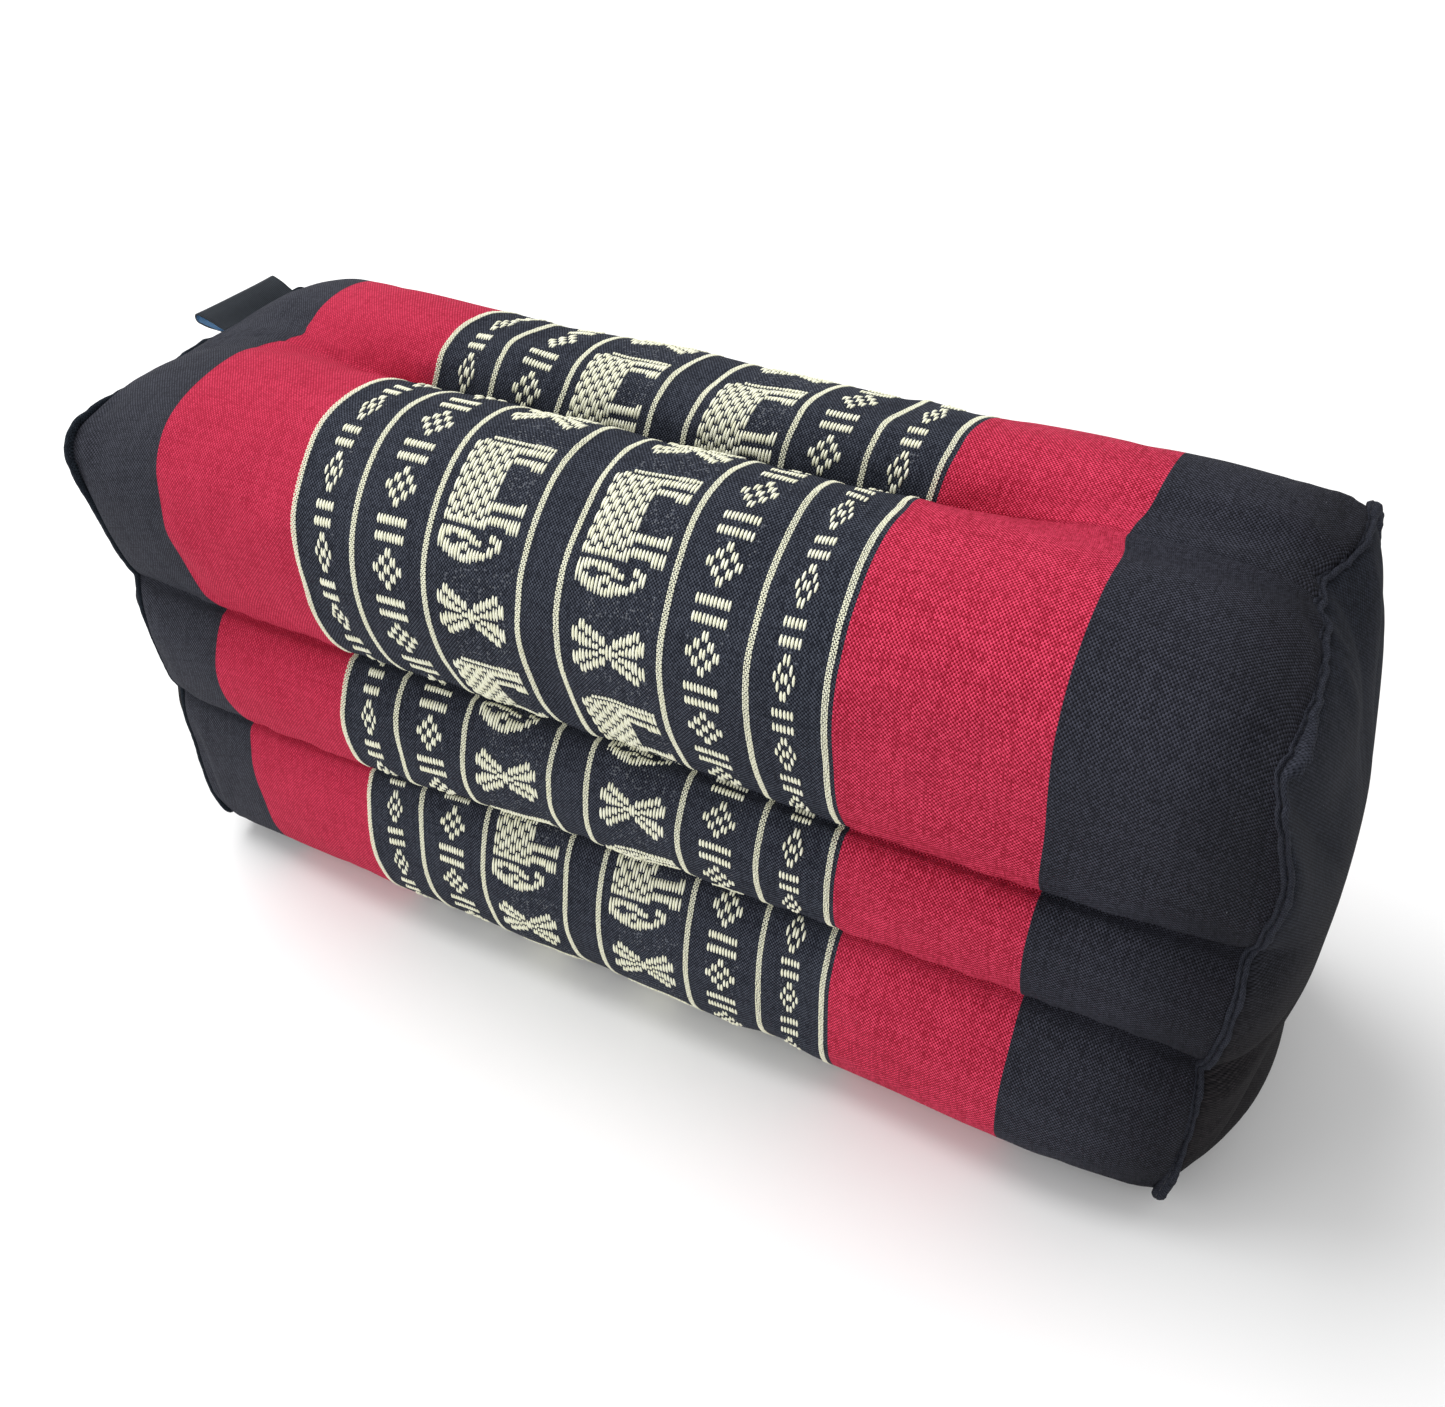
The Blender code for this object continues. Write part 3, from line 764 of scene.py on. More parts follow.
# How far a thread strays, the step that gives its direction, its width and height at its
# ends, its top against its foot, and how width and height vary.
THREAD_STRAY = 0.03
THREAD_STEP = 0.2
THREAD_ENDS = (0.55, 0.12)
THREAD_TOP = 0.45
THREAD_VARIES = ((0.92, 1.06), (0.85, 1.15))


def band_floats(bands):
    spans = []
    for left, (chart, repeat, top) in bands:
        first = math.floor((BACK_END - top) / repeat)
        last = math.ceil((FRONT_END - top) / repeat)
        for k in range(first, last + 1):
            for column, a, b in chart:
                v1, v2 = top + k * repeat + a, top + k * repeat + b
                if v1 > BACK_END and v2 < FRONT_END:
                    spans.append((left + (column + 0.5) * COLUMN_PITCH, v1, v2))
    return np.array(spans)


def line_floats(places):
    spans = []
    for x in places:
        for column in range(LINE_COLUMNS):
            centre = x + (column - (LINE_COLUMNS - 1) / 2) * LINE_PITCH
            start = BACK_END + 0.5 * LINE_STEP * (column % 2)
            for k in range(int((FRONT_END - BACK_END) / LINE_STEP)):
                v = start + k * LINE_STEP
                spans.append((centre, v, v + LINE_FLOAT))
    return np.array(spans)


def thread_pieces(name, spans, thread, seed):
    """Raised threads lying on the cloth, each a closed four-sided sliver with soft ends."""
    width, height, stations = thread
    draw = np.random.default_rng(seed)
    count = len(spans)
    f = np.linspace(0.0, 1.0, stations)[None, :]
    v = spans[:, 1:2] + (spans[:, 2:3] - spans[:, 1:2]) * f
    x = spans[:, :1] + np.zeros_like(v) + draw.normal(0, THREAD_STRAY, (count, 1))
    centre, normal = surface.ask(x, v)
    along = unit(surface.ask(x, v + THREAD_STEP)[0] - surface.ask(x, v - THREAD_STEP)[0])
    side = unit(np.cross(normal, along))
    swell = np.sqrt(np.clip(1.0 - (2 * np.abs(f - 0.5)) ** 4, 0.0, 1.0))
    if stations == 2:
        swell = np.ones_like(f)
    half, lift = (
        (size * (ends + (1.0 - ends) * swell) * draw.uniform(*varies, (count, 1)))[..., None]
        for size, ends, varies in zip((0.5 * width, height), THREAD_ENDS, THREAD_VARIES))
    ring = np.stack([centre + side * half * across + normal * up for across, up in (
        (-1, -THREAD_SINK), (-THREAD_TOP, lift), (THREAD_TOP, lift), (1, -THREAD_SINK))], 2)
    verts = ring.reshape(-1, 3)
    verts[:, 2] = np.maximum(verts[:, 2], 0.0)
    index = np.arange(count * stations * 4).reshape(count, stations, 4)
    faces = []
    for k in range(4):
        a, b = index[..., k], index[..., (k + 1) % 4]
        faces.append(np.stack([a[:, :-1], b[:, :-1], b[:, 1:], a[:, 1:]], -1).reshape(-1, 4))
    faces += [index[:, 0, ::-1], index[:, -1]]
    return new_object(name, verts, np.concatenate(faces).tolist())


grid = shaped(base)
surface = Surface(grid)
wrap = make_wrap(grid)
motifs = thread_pieces("brocade_picture", band_floats(BANDS[2:4]), BAND_THREAD, 3)
diamonds = thread_pieces("brocade_diamonds", band_floats(BANDS[:2] + BANDS[4:]), BAND_THREAD, 4)
lines_left = thread_pieces("brocade_lines_left", line_floats(LINES[:4]), LINE_THREAD, 5)
lines_right = thread_pieces("brocade_lines_right", line_floats(LINES[4:]), LINE_THREAD, 6)


class Shading:
    """A procedural material under construction."""

    def __init__(self, name):
        self.material = bpy.data.materials.new(name)
        self.material.use_nodes = True
        self.tree = self.material.node_tree
        self.shader = self.tree.nodes["Principled BSDF"]

    def put(self, socket, value):
        if isinstance(value, bpy.types.NodeSocket):
            self.tree.links.new(value, socket)
        else:
            socket.default_value = value

    def node(self, kind, values=(), output=0, **settings):
        """One output of a new node. Its values go in by number or by name."""
        made = self.tree.nodes.new("ShaderNode" + kind)
        for key, value in settings.items():
            setattr(made, key, value)
        for key, value in values.items() if isinstance(values, dict) else enumerate(values):
            self.put(made.inputs[key], value)
        return made.outputs[output]

    def maths(self, operation, *values, clamp=False):
        return self.node("Math", values, operation=operation, use_clamp=clamp)

    def product(self, first, *others):
        for other in others:
            first = self.maths("MULTIPLY", first, other)
        return first

    def total(self, first, *others):
        """The sum, kept between 0 and 1 after the last."""
        for k, other in enumerate(others, 1):
            first = self.maths("ADD", first, other, clamp=k == len(others))
        return first

    def line(self, value, times, plus):
        return self.maths("MULTIPLY_ADD", value, times, plus)

    def spread(self, *values):
        """A value eased from its low to its high, to 0 and 1 or the two that follow."""
        return self.node("MapRange", values, clamp=True, interpolation_type="SMOOTHSTEP")

    def mix(self, share, a, b):
        return self.node("Mix", {0: share, 6: a, 7: b}, 2, data_type="RGBA")

    def noise(self, vector, scale, detail=2.0, roughness=0.55):
        return self.node("TexNoise", {"Vector": vector, "Scale": scale, "Detail": detail,
                                      "Roughness": roughness}, "Fac")

    def pair(self, x, y):
        return self.node("CombineXYZ", (x, y))

    def random(self, x, y):
        return self.node("TexWhiteNoise", {"Vector": self.pair(x, y)}, "Value",
                         noise_dimensions="2D")

    def cloth(self):
        """Pattern x and v, in millimetres, from the piece's own UV map."""
        uv = self.node("UVMap", uv_map="cloth")
        return [self.node("SeparateXYZ", (uv,), axis) for axis in (0, 1)]

    def bump(self, height, distance, strength):
        return self.node("Bump", {"Height": height, "Distance": distance, "Strength": strength})

    def place(self):
        return self.node("TexCoord", output="Object")

    def finish(self, colour, normal, roughness, specular):
        for key, value in (("Base Color", colour), ("Normal", normal),
                           ("Roughness", roughness), ("Specular IOR Level", specular)):
            if value is not None:
                self.put(self.shader.inputs[key], value)
        return self.material


def plain_weave(m, x, y, warp, weft):
    """Signed height of a plain weave, above 0 where the warp is on top, and the numbers of
    the two threads."""
    tx = m.maths("DIVIDE", x, warp)
    ty = m.maths("DIVIDE", y, weft)
    over = m.product(m.maths("COSINE", m.product(tx, math.pi)),
                     m.maths("COSINE", m.product(ty, math.pi)))
    ix = m.maths("FLOOR", m.maths("ADD", tx, 0.5))
    iy = m.maths("FLOOR", m.maths("ADD", ty, 0.5))
    return over, ix, iy


def steps(m, share, stops):
    """A colour for each stretch of share, which goes from 0 to 1."""
    made = m.node("ValToRGB", (share,))
    ramp = made.node.color_ramp
    ramp.interpolation = "CONSTANT"
    elements = ramp.elements
    elements.remove(elements[1])
    elements[0].position, elements[0].color = 0.0, stops[0][1]
    for at, colour in stops[1:]:
        elements.new(at).color = colour
    return made


def along_block(m, x, stops):
    """Constant colours along the block, cut at pattern x."""
    share = m.maths("DIVIDE", m.maths("ADD", x, 180.0), 360.0)
    return steps(m, share, [((at + 180.0) / 360.0, colour) for at, colour in stops])


def grey(value):
    return (value, value, value, 1)


# The wrap from left to right: where each colour begins, and the colour in the gaps between the
# threads and on top of them.
WRAP_COLOURS = (
    (-180.0, (0.018, 0.019, 0.025, 1), (0.070, 0.073, 0.094, 1)),
    (-126.3, (0.34, 0.012, 0.036, 1), (0.74, 0.056, 0.126, 1)),
    (LINES[0] - 1.2, (0.004, 0.005, 0.010, 1), (0.080, 0.090, 0.118, 1)),
    (LINES[7] + 1.2, (0.23, 0.002, 0.013, 1), (0.92, 0.076, 0.168, 1)),
    # The black at the right end is set darker than the black at the left: painted shade.
    (113.4, (0.006, 0.006, 0.009, 1), (0.062, 0.065, 0.089, 1)),
)
CREAM = (0.97, 0.97, 0.80, 1)
CREAM_DEEP = (0.80, 0.79, 0.52, 1)
SPECK = (0.17, 0.18, 0.20, 1)
LINT = (0.26, 0.27, 0.30, 1)
# The end panels are warmer low down.
END_BLACK = (0.003, 0.003, 0.004, 1)
END_LIT = {"low": (0.028, 0.025, 0.027, 1), "high": (0.028, 0.032, 0.045, 1)}
END_LIT_SPAN = (0.05, 0.13)
SEAM = {1: ((0.005, 0.006, 0.009, 1), (0.043, 0.046, 0.062, 1)),
        -1: ((0.003, 0.004, 0.006, 1), (0.034, 0.044, 0.060, 1))}
THREAD = ((0.05, 0.052, 0.062, 1), (0.010, 0.010, 0.012, 1))
RIBBON = ((0.005, 0.007, 0.010, 1), (0.030, 0.038, 0.050, 1))
RIBBON_REVERSE = ((0.34, 0.62, 1.0, 1), (0.56, 0.84, 1.0, 1))
RIB_PITCH = (0.55, 0.3)
# Painted shade: where the cloth's colour is darkened towards the right seam, and how much.
PAINTED_SEAM_SHADE = (128.0, 154.0)
PAINTED_SEAM_SHADE_AMOUNT = 0.5
# Chance of a cream speck in the dark ground, by length in the picture's repeat, and its share
# by pattern x.
SPECK_ROWS = ((0.0, 0.02), (8.6, 0.11), (17.4, 0.02), (35.0, 0.08), (43.6, 0.03), (52.6, 0.08))
SPECK_COLUMNS = ((0.0, 0.0), (-72.0, 0.4), (-66.6, 0.0), (-53.8, 0.4), (-45.0, 0.0),
                 (-33.0, 1.0), (-14.6, 0.0), (5.0, 1.0), (23.4, 0.0), (32.2, 0.4),
                 (41.0, 0.0), (53.4, 0.4), (58.8, 0.0))
# How each unevenness of the weave changes the share of light thread: by how much, and what
# is added.
CELL_TONE = (0.8, 0.56)
THREAD_TONE = (0.3, 0.85)
FUZZ_TONE = (0.4, -0.2)
CLOUD_TONE = (0.3, -0.15)
END_TONE = (0.6, 0.6)
END_FUZZ = (0.7, -0.35)
END_CLOUD = (0.5, -0.25)


def specks(m, x, v, ix, iy, over):
    """Where a cream thread shows for one weft in the dark ground round the motifs."""
    phase = m.maths("MODULO", m.maths("ADD", v, 20 * PICTURE_REPEAT - PICTURE_TOP),
                    PICTURE_REPEAT)
    phase = m.maths("DIVIDE", phase, PICTURE_REPEAT)
    along = steps(m, phase, [(at / PICTURE_REPEAT, grey(chance)) for at, chance in SPECK_ROWS])
    across = along_block(m, x, [(at, grey(share)) for at, share in SPECK_COLUMNS])
    chance = m.random(m.maths("ADD", ix, 0.37), iy)
    chosen = m.maths("LESS_THAN", chance, m.product(along, across))
    return m.product(chosen, m.spread(m.maths("ABSOLUTE", over), 0.1, 0.6))


def wrap_material():
    m = Shading("striped_plain_weave")
    x, v = m.cloth()
    over, ix, iy = plain_weave(m, x, v, WARP_PITCH, WEFT_PITCH)
    thread_x = m.product(ix, WARP_PITCH)
    deep, lit = (along_block(m, thread_x, [(row[0], row[k]) for row in WRAP_COLOURS])
                 for k in (1, 2))
    place = m.place()
    cloudy = m.noise(place, 24.0, 4.0)
    fuzz = m.noise(place, 1100.0)
    slub = m.noise(m.pair(m.product(ix, 7.3), m.product(v, 0.22)), 1.0, 1.0)
    share = m.product(m.spread(over, -0.5, 0.85),
                      m.line(m.random(ix, iy), *CELL_TONE),
                      m.spread(slub, 0.30, 0.72, 0.78, 1.22),
                      m.line(m.random(ix, 7.0), *THREAD_TONE),
                      m.line(m.random(3.0, iy), *THREAD_TONE))
    share = m.total(share, m.line(fuzz, *FUZZ_TONE), m.line(cloudy, *CLOUD_TONE))
    colour = m.mix(share, deep, lit)
    # Painted shade: the colour is mixed towards black towards the right seam.
    colour = m.mix(m.spread(x, *PAINTED_SEAM_SHADE, 0.0, PAINTED_SEAM_SHADE_AMOUNT), colour, grey(0.0))
    streaks = m.noise(m.pair(x, m.product(v, 0.3)), 2.4, 2.0, 0.7)
    lint = m.product(m.spread(streaks, 0.68, 0.80), m.spread(m.noise(place, 60.0), 0.45, 0.62))
    colour = m.mix(m.product(lint, 0.6), colour, LINT)
    colour = m.mix(specks(m, thread_x, v, ix, iy, over), colour, SPECK)
    height = m.maths("ADD", m.product(over, over), m.product(fuzz, 0.5))
    return m.finish(colour, m.bump(height, 0.00018, 0.9), 0.9, 0.12)


def thread_material(name, colour, dark):
    m = Shading(name)
    island = m.node("NewGeometry", output="Random Per Island")
    fibres = m.noise(m.place(), 1600.0)
    share = m.total(m.line(fibres, 0.5, 0.35), m.product(island, 0.35))
    return m.finish(m.mix(share, dark, colour), m.bump(fibres, 0.0001, 0.6), 0.7, 0.2)


def black_cloth(name, deep, lit):
    """Black plain weave. A pair of light colours goes from low to high on the block."""
    m = Shading(name)
    x, y = m.cloth()
    over, ix, iy = plain_weave(m, x, y, WARP_PITCH, WARP_PITCH * 1.08)
    place = m.place()
    fuzz = m.noise(place, 800.0, 3.0)
    share = m.product(m.line(over, 0.5, 0.5),
                      m.line(m.random(ix, iy), *END_TONE))
    share = m.total(share, m.line(fuzz, *END_FUZZ),
                    m.line(m.noise(place, 22.0, 4.0), *END_CLOUD))
    if isinstance(lit, dict):
        height = m.node("SeparateXYZ", (place,), 2)
        lit = m.mix(m.spread(height, *END_LIT_SPAN), lit["low"], lit["high"])
    lint = m.spread(m.noise(place, 620.0, 2.0, 0.7), 0.73, 0.80)
    colour = m.mix(m.product(lint, 0.3), m.mix(share, deep, lit), LINT)
    height = m.maths("ADD", m.product(over, over), m.product(fuzz, 0.6))
    return m.finish(colour, m.bump(height, 0.00016, 0.8), 0.92, 0.1)


def ribbon_material(name, deep, lit):
    m = Shading(name)
    x, y = m.cloth()
    rib = m.maths("SINE", m.product(y, 2 * math.pi / RIB_PITCH[0]))
    cross = m.maths("SINE", m.product(x, 2 * math.pi / RIB_PITCH[1]))
    share = m.total(m.line(rib, 0.22, 0.3), m.product(m.noise(m.place(), 700.0), 0.4))
    height = m.maths("ADD", m.product(rib, 0.7), m.product(cross, 0.3))
    return m.finish(m.mix(share, deep, lit), m.bump(height, 0.0001, 0.6), 0.55, 0.2)


# The end panels. Their wrinkles run in from the seam: one at each crease, of this depth and
# width, and others of random depth and width.
PANEL_RINGS = 44
PANEL_RING_POWER = 1.6
PANEL_SHEET = 1.3
PANEL_WRINKLE = 0.35
PANEL_START = 0.035
SPOKE_REACH = 0.17
CREASE_MARK = (0.8, 5.0)
OTHER_MARKS = 11
MARK_DEPTHS = (-0.7, 1.0)
MARK_WIDTHS = (4.0, 11.0)
MARK_SPREAD = 2.2
MARK_REACH = (0.12, 0.25)
PANEL_DENT = 0.55
PANEL_DENT_FADE = 0.2


def make_panel(name, side):
    """An end panel as a thin domed sheet."""
    column = COLUMNS if side > 0 else 0
    seam = grid[:, column]
    arc = arcs[:-1, column]
    length = arcs[-1, column]
    r = 1.0 - np.linspace(0.0, 1.0, PANEL_RINGS + 1)[:-1] ** PANEL_RING_POWER
    stack = np.stack([dome_rings(seam, side, value, 0.0) for value in r])
    n = facing_out(np.cross(np.roll(stack, -1, axis=1) - np.roll(stack, 1, axis=1),
                            np.gradient(stack, axis=0)), stack)
    inward = (1.0 - r)[:, None]
    start = 1.0 - bell(inward, 0.0, PANEL_START)
    wrinkle = noise_wave(arc, 71 + side, 46.0, 6)[None, :]
    move = PANEL_WRINKLE * wrinkle * bell(inward, 0.0, SPOKE_REACH) * start
    draw = random.Random(9 + side)
    marks = [(arcs[row, column], *CREASE_MARK) for row in CHANNEL_EDGES[:-1]]
    marks += [(draw.uniform(0, length), draw.uniform(*MARK_DEPTHS), draw.uniform(*MARK_WIDTHS))
              for _ in range(OTHER_MARKS)]
    for at, depth, width in marks:
        away = np.abs(arc - at)
        away = np.minimum(away, length - away)[None, :]
        reach = MARK_REACH[0] + MARK_REACH[1] * draw.random()
        crease = bell(away, 0.0, width * (1.0 + MARK_SPREAD * inward)) * bell(inward, 0.0, reach)
        move = move - depth * crease * start
    y, z = stack[..., 1], stack[..., 2]
    dent = noise_wave(y + 0.4 * z, 81 + side, 80.0, 3) * noise_wave(
        z - 0.5 * y, 83 + side, 70.0, 3)
    move = move + PANEL_DENT * dent * (1 - bell(inward, 0.0, PANEL_DENT_FADE))
    outer = stack + n * move[..., None]
    inner = outer - n * PANEL_SHEET
    tip = dome_rings(seam, side, 0.0, 0.0)[:1] + [[side * move[-1].mean(), 0, 0]]
    verts = np.vstack([outer.reshape(-1, 3), inner.reshape(-1, 3),
                       tip, tip - [[side * PANEL_SHEET, 0, 0]]])
    rows, spokes = outer.shape[:2]
    index = np.arange(rows * spokes).reshape(rows, spokes)
    after = np.roll(index, -1, axis=1)
    below = rows * spokes
    quads = ring_faces(index)
    cap = np.stack([index[-1], after[-1], np.full(spokes, 2 * below)], -1)
    rim = np.stack([after[0], index[0], index[0] + below, after[0] + below], -1)
    under = quads + below
    cap_under = cap + [below, below, 1]
    if side < 0:
        quads, cap, rim = quads[:, ::-1], cap[:, ::-1], rim[:, ::-1]
    else:
        under, cap_under = under[:, ::-1], cap_under[:, ::-1]
    faces = [face for block in (quads, under, cap, cap_under, rim) for face in block.tolist()]
    return new_object(name, verts, faces, verts[np.concatenate(faces)][:, 1:])


# The standing seam seen end on: (out from the loop, out along X). On the right it is two
# soft lips with a groove between them, on the left a thin fin.
RIDGE = {
    1: ((-0.8, -0.95), (0.3, -1.1), (1.0, -0.95), (1.25, -0.55), (0.95, -0.15), (0.25, 0.05),
        (0.95, 0.3), (1.35, 0.7), (1.2, 1.15), (0.6, 1.4), (-0.2, 1.25), (-0.9, 0.6)),
    -1: ((-0.8, -0.3), (0.2, -0.35), (0.7, -0.25), (0.95, 0.05), (1.0, 0.4), (0.95, 0.75),
         (0.7, 1.0), (0.3, 1.15), (-0.2, 1.1), (-0.7, 0.8)),
}
GROOVE = {1: 5, -1: 0}
RIDGE_STEPS = 560
RIDGE_PITCH = 0.9
# Right, left: wander along X, unevenness of the whole and of each edge.
RIDGE_LIFE = {1: (0.22, 0.10, 0.10), -1: (0.15, 0.06, 0.04)}
CRIMPED = (1.6, (130.0, 150.0))
# The flap of turned-up seam on the right: how far it stands, how much of that is outwards,
# and the rows where it begins, is widest, is still whole and ends.
FLAP = 1.5
FLAP_OUT = 0.3
FLAP_ROWS = (21.0, 31.0, 33.5, 35.5)
PLEATED = (0.35, 8.0)
# The ears of cloth at the corners: front or back, top or bottom, how far they stand out, and
# where they begin and are whole, in Y and in height from the middle. On the right they are
# filled out round.
EAR_AT = ((36.0, 46.0), (52.0, 68.0))
EARS = {1: ((-1, -1, 1.5, EAR_AT), (1, 1, 1.0, ((36.0, 46.0), (61.0, 70.0))),
            (1, -1, 1.0, EAR_AT)),
        -1: ((-1, 1, 1.2, ((24.0, 38.0), (42.0, 60.0))), (-1, -1, 0.3, EAR_AT),
             (1, -1, 0.6, EAR_AT))}
EAR_FILL = {1: 0.8, -1: 0.0}
EAR_ALONG = 0.8
EAR_OUT = 0.55
EAR_ROUND = (1.3, 0.1, 1.4)
# The label: where it is sewn in, how far it stands out, its loop and its tilt, front end to
# back end, and the rows where the seam lies flat under it.
TAG_SPAN = (-6.4, -32.0)
TAG_FOLD = ((-165.0, 11.8, 154.2), (-164.4, 43.1, 152.0))
TAG_LOOP = 3.0
TAG_SHEET = 0.5
TAG_ROOT = (0.8, 0.9, -0.3)
TAG_ROWS = (-5.0, -1.0, -36.0, -31.0)
TAG_FLAT = 0.8
TAG_STEPS = 26
TAG_RUN = 9
TAG_BEND = 14
TAG_OPEN = (0.34, 0.8)
TAG_FLARE = 0.12
TAG_WIDTH = 30.0


def seam_loop(side):
    """The end seam in even steps, the lengths along it, its rows and the ways out of it."""
    closed = looped(grid[:, COLUMNS if side > 0 else 0])
    d = lengths_along(closed)
    at = np.linspace(0, d[-1], RIDGE_STEPS + 1)[:-1]
    seam = at_places(at, d, closed)
    ahead = np.roll(seam, -3, axis=0) - np.roll(seam, 3, axis=0)
    n = facing_out(np.stack([np.zeros(len(seam)), ahead[:, 2], -ahead[:, 1]], -1), seam)
    return seam, at, np.interp(at, d, np.arange(len(d))), n


def make_ridge(name, side):
    """The turned-out seam of one end, and the line in it that its stitches follow."""
    seam, at, rows_at, n = seam_loop(side)
    wander, whole, each = RIDGE_LIFE[side]
    ear = sum(size * ease(face * seam[:, 1], *in_y) * ease(end * (seam[:, 2] - MID_HEIGHT), *in_z)
              for face, end, size, (in_y, in_z) in EARS[side])
    meander = wander * noise_wave(at, 91 + side, 34.0, 6)
    crimp = noise_wave(at, 95 + side, 8.0, 3) * ease(seam[:, 2], *CRIMPED[1])
    meander += CRIMPED[0] * wander * crimp
    fat = 1.0 + whole * noise_wave(at, 93 + side, 21.0, 6)
    flap = np.zeros(len(seam))
    flat = np.zeros(len(seam))
    if side > 0:
        flap = FLAP * ease(rows_at, *FLAP_ROWS[:2]) * (1.0 - ease(rows_at, *FLAP_ROWS[2:]))
        fat += PLEATED[0] * bell(rows_at, 0.0, PLEATED[1])
    else:
        back_rows = rows_at - len(grid)
        flat = (1.0 - ease(back_rows, *TAG_ROWS[:2])) * ease(back_rows, *TAG_ROWS[2:])
    filled = np.clip(ear, 0.0, 1.0) * EAR_FILL[side]
    lips = [1.0 + 2.0 * each * noise_wave(at, 111 + k, 52.0, 4) for k in range(2)]
    radius, middle, half = EAR_ROUND
    rings = []
    for k, (out, along) in enumerate(RIDGE[side]):
        life = 1.0 + each * noise_wave(at, 100 + k, 12.0, 6)
        size = fat * lips[k > GROOVE[side]] * life
        stand = out * size * (1.0 + FLAP_OUT * flap)
        if out > 0.0:
            full = math.sqrt(max(0.0, 1.0 - ((along - middle) / half) ** 2))
            stand += filled * (radius * full - out) + ear * (EAR_OUT + (1.0 - EAR_OUT) * full)
            stand *= 1.0 - TAG_FLAT * flat
        p = seam + n * stand[:, None]
        p[:, 0] += side * (along * size + max(along, 0.0) * (flap + EAR_ALONG * filled) + meander)
        rings.append(p)
    stack = np.stack(rings, 1)
    rows, columns = stack.shape[:2]
    faces = ring_faces(looped(np.arange(rows * columns).reshape(rows, columns)))
    if side < 0:
        faces = faces[:, ::-1]
    uvs = np.stack([np.repeat(at, columns), np.tile(np.arange(columns) * RIDGE_PITCH, rows)], -1)
    ridge = new_object(name, stack.reshape(-1, 3), faces.tolist(), uvs[faces.ravel()])
    return ridge, stack[:, GROOVE[side]] + n * STITCH_CLEAR


# Stitches: how far they clear the groove, what is left of their thickness at the ends, and
# for each kind its pitch, length, lift and sink.
STITCH_CLEAR = 0.08
STITCH_END = 0.4
CREASE_STITCH = (3.0, 2.3, 0.12, 0.25)
CREASE_THREAD = 0.17
END_STITCH = (2.9, 2.1, 0.10, 0.20)
END_THREAD = 0.13


def tubes(name, paths, radius):
    """Closed four-sided threads along short paths, in one mesh."""
    sides = 4
    verts, faces = [], []
    for path in paths:
        ahead = unit(np.gradient(path, axis=0))
        helper = np.where(np.abs(ahead[:, 2:3]) < 0.8, [[0, 0, 1.0]], [[1.0, 0, 0]])
        a = unit(np.cross(ahead, helper))
        b = np.cross(ahead, a)
        first = len(verts)
        taper = np.ones(len(path))
        taper[[0, -1]] = STITCH_END
        for p, across, up, k in zip(path, a, b, taper):
            for i in range(sides):
                angle = 2 * math.pi * i / sides
                verts.append(p + radius * k * (across * math.cos(angle) + up * math.sin(angle)))
        index = first + np.arange(len(path) * sides).reshape(-1, sides)
        faces += ring_faces(index).tolist() + [index[0, ::-1].tolist(), index[-1].tolist()]
    return new_object(name, verts, faces)


def stitch_paths(line, normals, pitch, length, lift, sink, seed):
    """Lockstitches along a polyline: each dips into the cloth at both ends."""
    draw = random.Random(seed)
    d = lengths_along(line)
    paths = []
    place = 0.5
    f = np.linspace(0.0, 1.0, 5)
    rise = lift - (lift + sink) * (2 * f - 1) ** 4
    while place < d[-1] - length:
        at = place + f * length
        paths.append(at_places(at, d, line) + at_places(at, d, normals) * rise[:, None])
        place += pitch * draw.uniform(0.93, 1.07)
    return paths


def crease_stitches():
    """The rows of machine stitches in the creases. None show in the top valley."""
    paths = []
    for k, row in enumerate(CHANNEL_EDGES[1:-1], 1):
        paths += stitch_paths(surface.grid[row, 4:-4], surface.normals[row, 4:-4],
                              *CREASE_STITCH, 20 + k)
    return tubes("crease_stitches", paths, CREASE_THREAD)


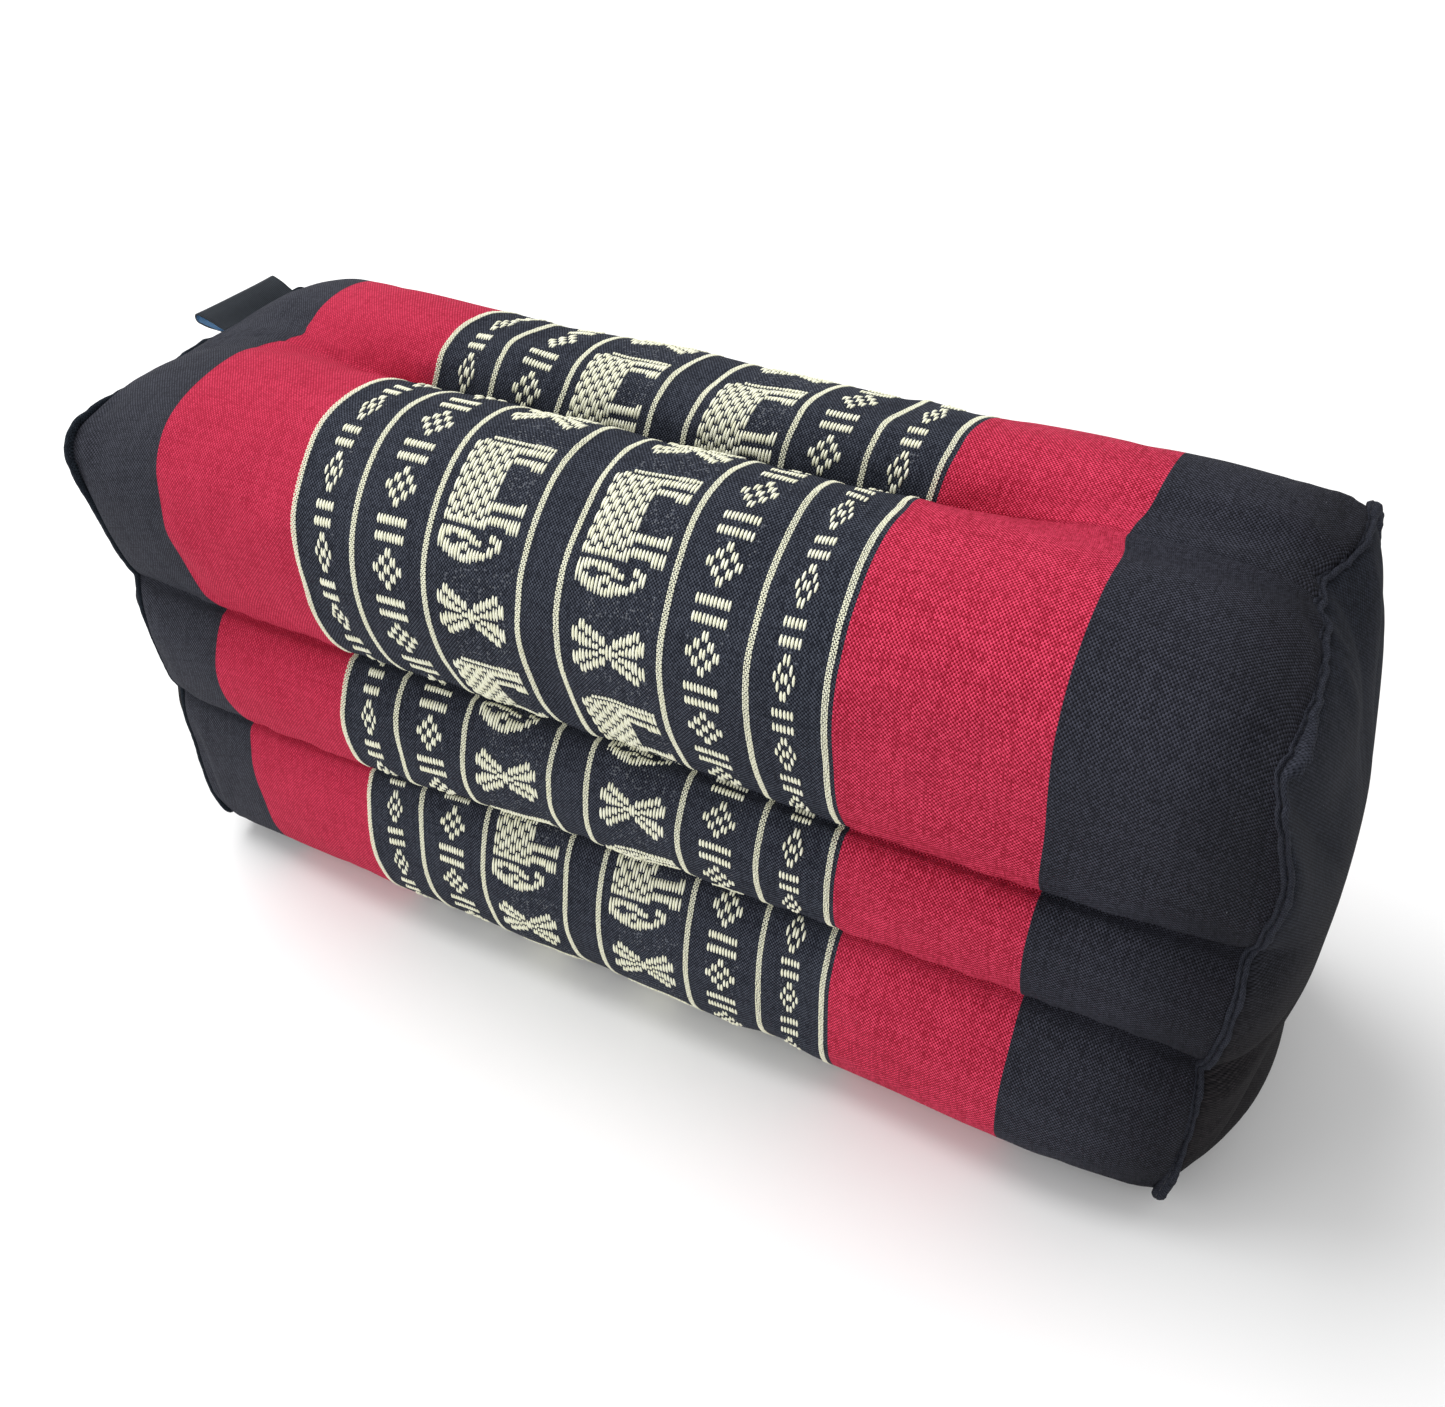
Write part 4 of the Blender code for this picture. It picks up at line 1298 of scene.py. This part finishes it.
def make_tag():
    """The folded ribbon, bare of lettering, as a thin loop with an open tunnel."""
    f = np.linspace(0, 1, TAG_STEPS + 1)[:, None]
    place = TAG_SPAN[0] + (TAG_SPAN[1] - TAG_SPAN[0]) * f[:, 0]
    rows = np.arange(-60, 60)
    root = at_places(place, rows, grid[rows, 0])
    root[:, 0] += TAG_ROOT[0]
    root[:, 2] += TAG_ROOT[1] + (TAG_ROOT[2] - TAG_ROOT[1]) * f[:, 0]
    fold = np.array(TAG_FOLD[0]) * (1.0 - f) + np.array(TAG_FOLD[1]) * f
    run, rise = root[:, :1] - fold[:, :1], fold[:, 2:] - root[:, 2:]
    tilt, far = np.arctan2(rise, run), np.hypot(rise, run)
    # The loop seen end on: share of the way out, past the fold's centre, and across.
    outline = []
    for radius, turn in ((TAG_LOOP / 2, 1), (TAG_LOOP / 2 - TAG_SHEET, -1)):
        angles = [math.pi * i / TAG_BEND for i in range(TAG_BEND + 1)]
        outline += [(k / TAG_RUN, 0.0, turn * radius) for k in range(TAG_RUN)]
        outline += [(1.0, radius * math.sin(a), turn * radius * math.cos(a)) for a in angles]
        outline += [((TAG_RUN - 1 - k) / TAG_RUN, 0.0, -turn * radius) for k in range(TAG_RUN)]
    out, past, across = np.array(outline).T
    least, widest = TAG_OPEN
    opening = np.where(out < 1.0, least + (1.0 - least) * ease(out, 0.0, widest), 1.0)
    reach = out * (far - TAG_LOOP / 2) + past
    across = across * opening * (1 + TAG_FLARE * (1 - f) ** 3)
    stack = np.stack([root[:, :1] - reach * np.cos(tilt) + across * np.sin(tilt),
                      root[:, 1:2] + (fold[:, 1:2] - root[:, 1:2]) * out,
                      root[:, 2:] + reach * np.sin(tilt) + across * np.cos(tilt)], -1)
    rows, columns = stack.shape[:2]
    index = np.arange(rows * columns).reshape(rows, columns)
    half = columns // 2
    faces = ring_faces(index).tolist()
    for k in range(half - 1):
        for row, order in ((index[0], 1), (index[-1], -1)):
            faces.append(row[[k, k + 1, columns - 2 - k, columns - 1 - k]][::order].tolist())
    uvs = np.stack([np.tile(lengths_along(stack[0]), rows),
                    np.repeat(f[:, 0] * TAG_WIDTH, columns)], -1)
    piece = new_object("ribbon_tag", stack.reshape(-1, 3), faces, uvs[np.concatenate(faces)])
    inside = [min(face) % columns >= half and max(face) % columns < columns - 1
              for face in faces]
    piece.data.polygons.foreach_set("material_index", np.array(inside, np.int32))
    return piece


wrap.data.materials.append(wrap_material())
cream = thread_material("cream_thread", CREAM, CREAM_DEEP)
for piece in (motifs, diamonds, lines_left, lines_right):
    piece.data.materials.append(cream)

panel_cloth = black_cloth("black_end_cloth", END_BLACK, END_LIT)
edge_cloth = {side: black_cloth("black_seam_" + word, *SEAM[side])
              for side, word in ((1, "right"), (-1, "left"))}
black_thread = thread_material("black_thread", *THREAD)
crease_seams = crease_stitches()
crease_seams.data.materials.append(black_thread)
for side, word in ((1, "right"), (-1, "left")):
    panel = make_panel("end_panel_" + word + "_cloth", side)
    panel.data.materials.append(panel_cloth)
    ridge, groove = make_ridge("end_seam_" + word, side)
    ridge.data.materials.append(edge_cloth[side])
    out = unit((groove - [0, 0, MID_HEIGHT]) * [0, 1, 1])
    stitches = tubes("end_stitches_" + word, stitch_paths(groove, out, *END_STITCH, 5 + side),
                     END_THREAD)
    stitches.data.materials.append(black_thread)
    for piece in (panel, ridge, stitches):
        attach(piece, "root")
    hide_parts("end_panel_" + word)

tag = make_tag()
tag.data.materials.append(ribbon_material("black_ribbon", *RIBBON))
tag.data.materials.append(ribbon_material("ribbon_reverse", *RIBBON_REVERSE))
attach(tag, "root")
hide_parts("label")

for piece in (wrap, motifs, diamonds, lines_left, lines_right, crease_seams):
    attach(piece, "root")
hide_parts("cushion")

# Camera and light.
camera_data = bpy.data.cameras.new("camera")
camera_data.lens = CAMERA_LENS
camera_data.sensor_width = CAMERA_SENSOR
camera_data.clip_start = 0.01
camera = linked("camera", camera_data)
right, down, ahead = (Vector(r) for r in CAMERA_ROWS)
ahead.normalize()
right = (right - ahead * right.dot(ahead)).normalized()
down = ahead.cross(right)
turn = Matrix((right, -down, -ahead)).transposed()
camera.matrix_world = Matrix.Translation(CAMERA_AT) @ turn.to_4x4()
bpy.context.scene.camera = camera

FLOOR_HALF = 2500
FLOOR_PALE = (grey(0.92), grey(0.95))
WORLD_LIGHT = 0.72
LIT_POINT = Vector((0, 0, 0.08))
# Place, size and power.
LIGHTS = {"key": ((-1.2, 0.2, 2.4), 1.7, 48.0), "fill": ((-1.8, -1.6, 1.3), 1.8, 15.0)}

floor = new_object("floor", [(x * FLOOR_HALF, y * FLOOR_HALF, 0)
                             for x, y in ((-1, -1), (1, -1), (1, 1), (-1, 1))], [[0, 1, 2, 3]])
pale = Shading("pale_floor")
floor.data.materials.append(pale.finish(
    pale.mix(pale.noise(pale.place(), 6.0), *FLOOR_PALE), None, 0.9, 0.1))

world = bpy.data.worlds.new("studio")
world.use_nodes = True
background = world.node_tree.nodes["Background"].inputs
background["Color"].default_value = grey(1.0)
background["Strength"].default_value = WORLD_LIGHT
bpy.context.scene.world = world
bpy.context.scene.view_settings.view_transform = "Standard"

for name, (at, size, power) in LIGHTS.items():
    data = bpy.data.lights.new(name, "AREA")
    data.shape = "DISK"
    data.size = size
    data.energy = power
    light = linked(name, data)
    light.location = at
    light.rotation_euler = (LIT_POINT - Vector(at)).to_track_quat("-Z", "Y").to_euler()
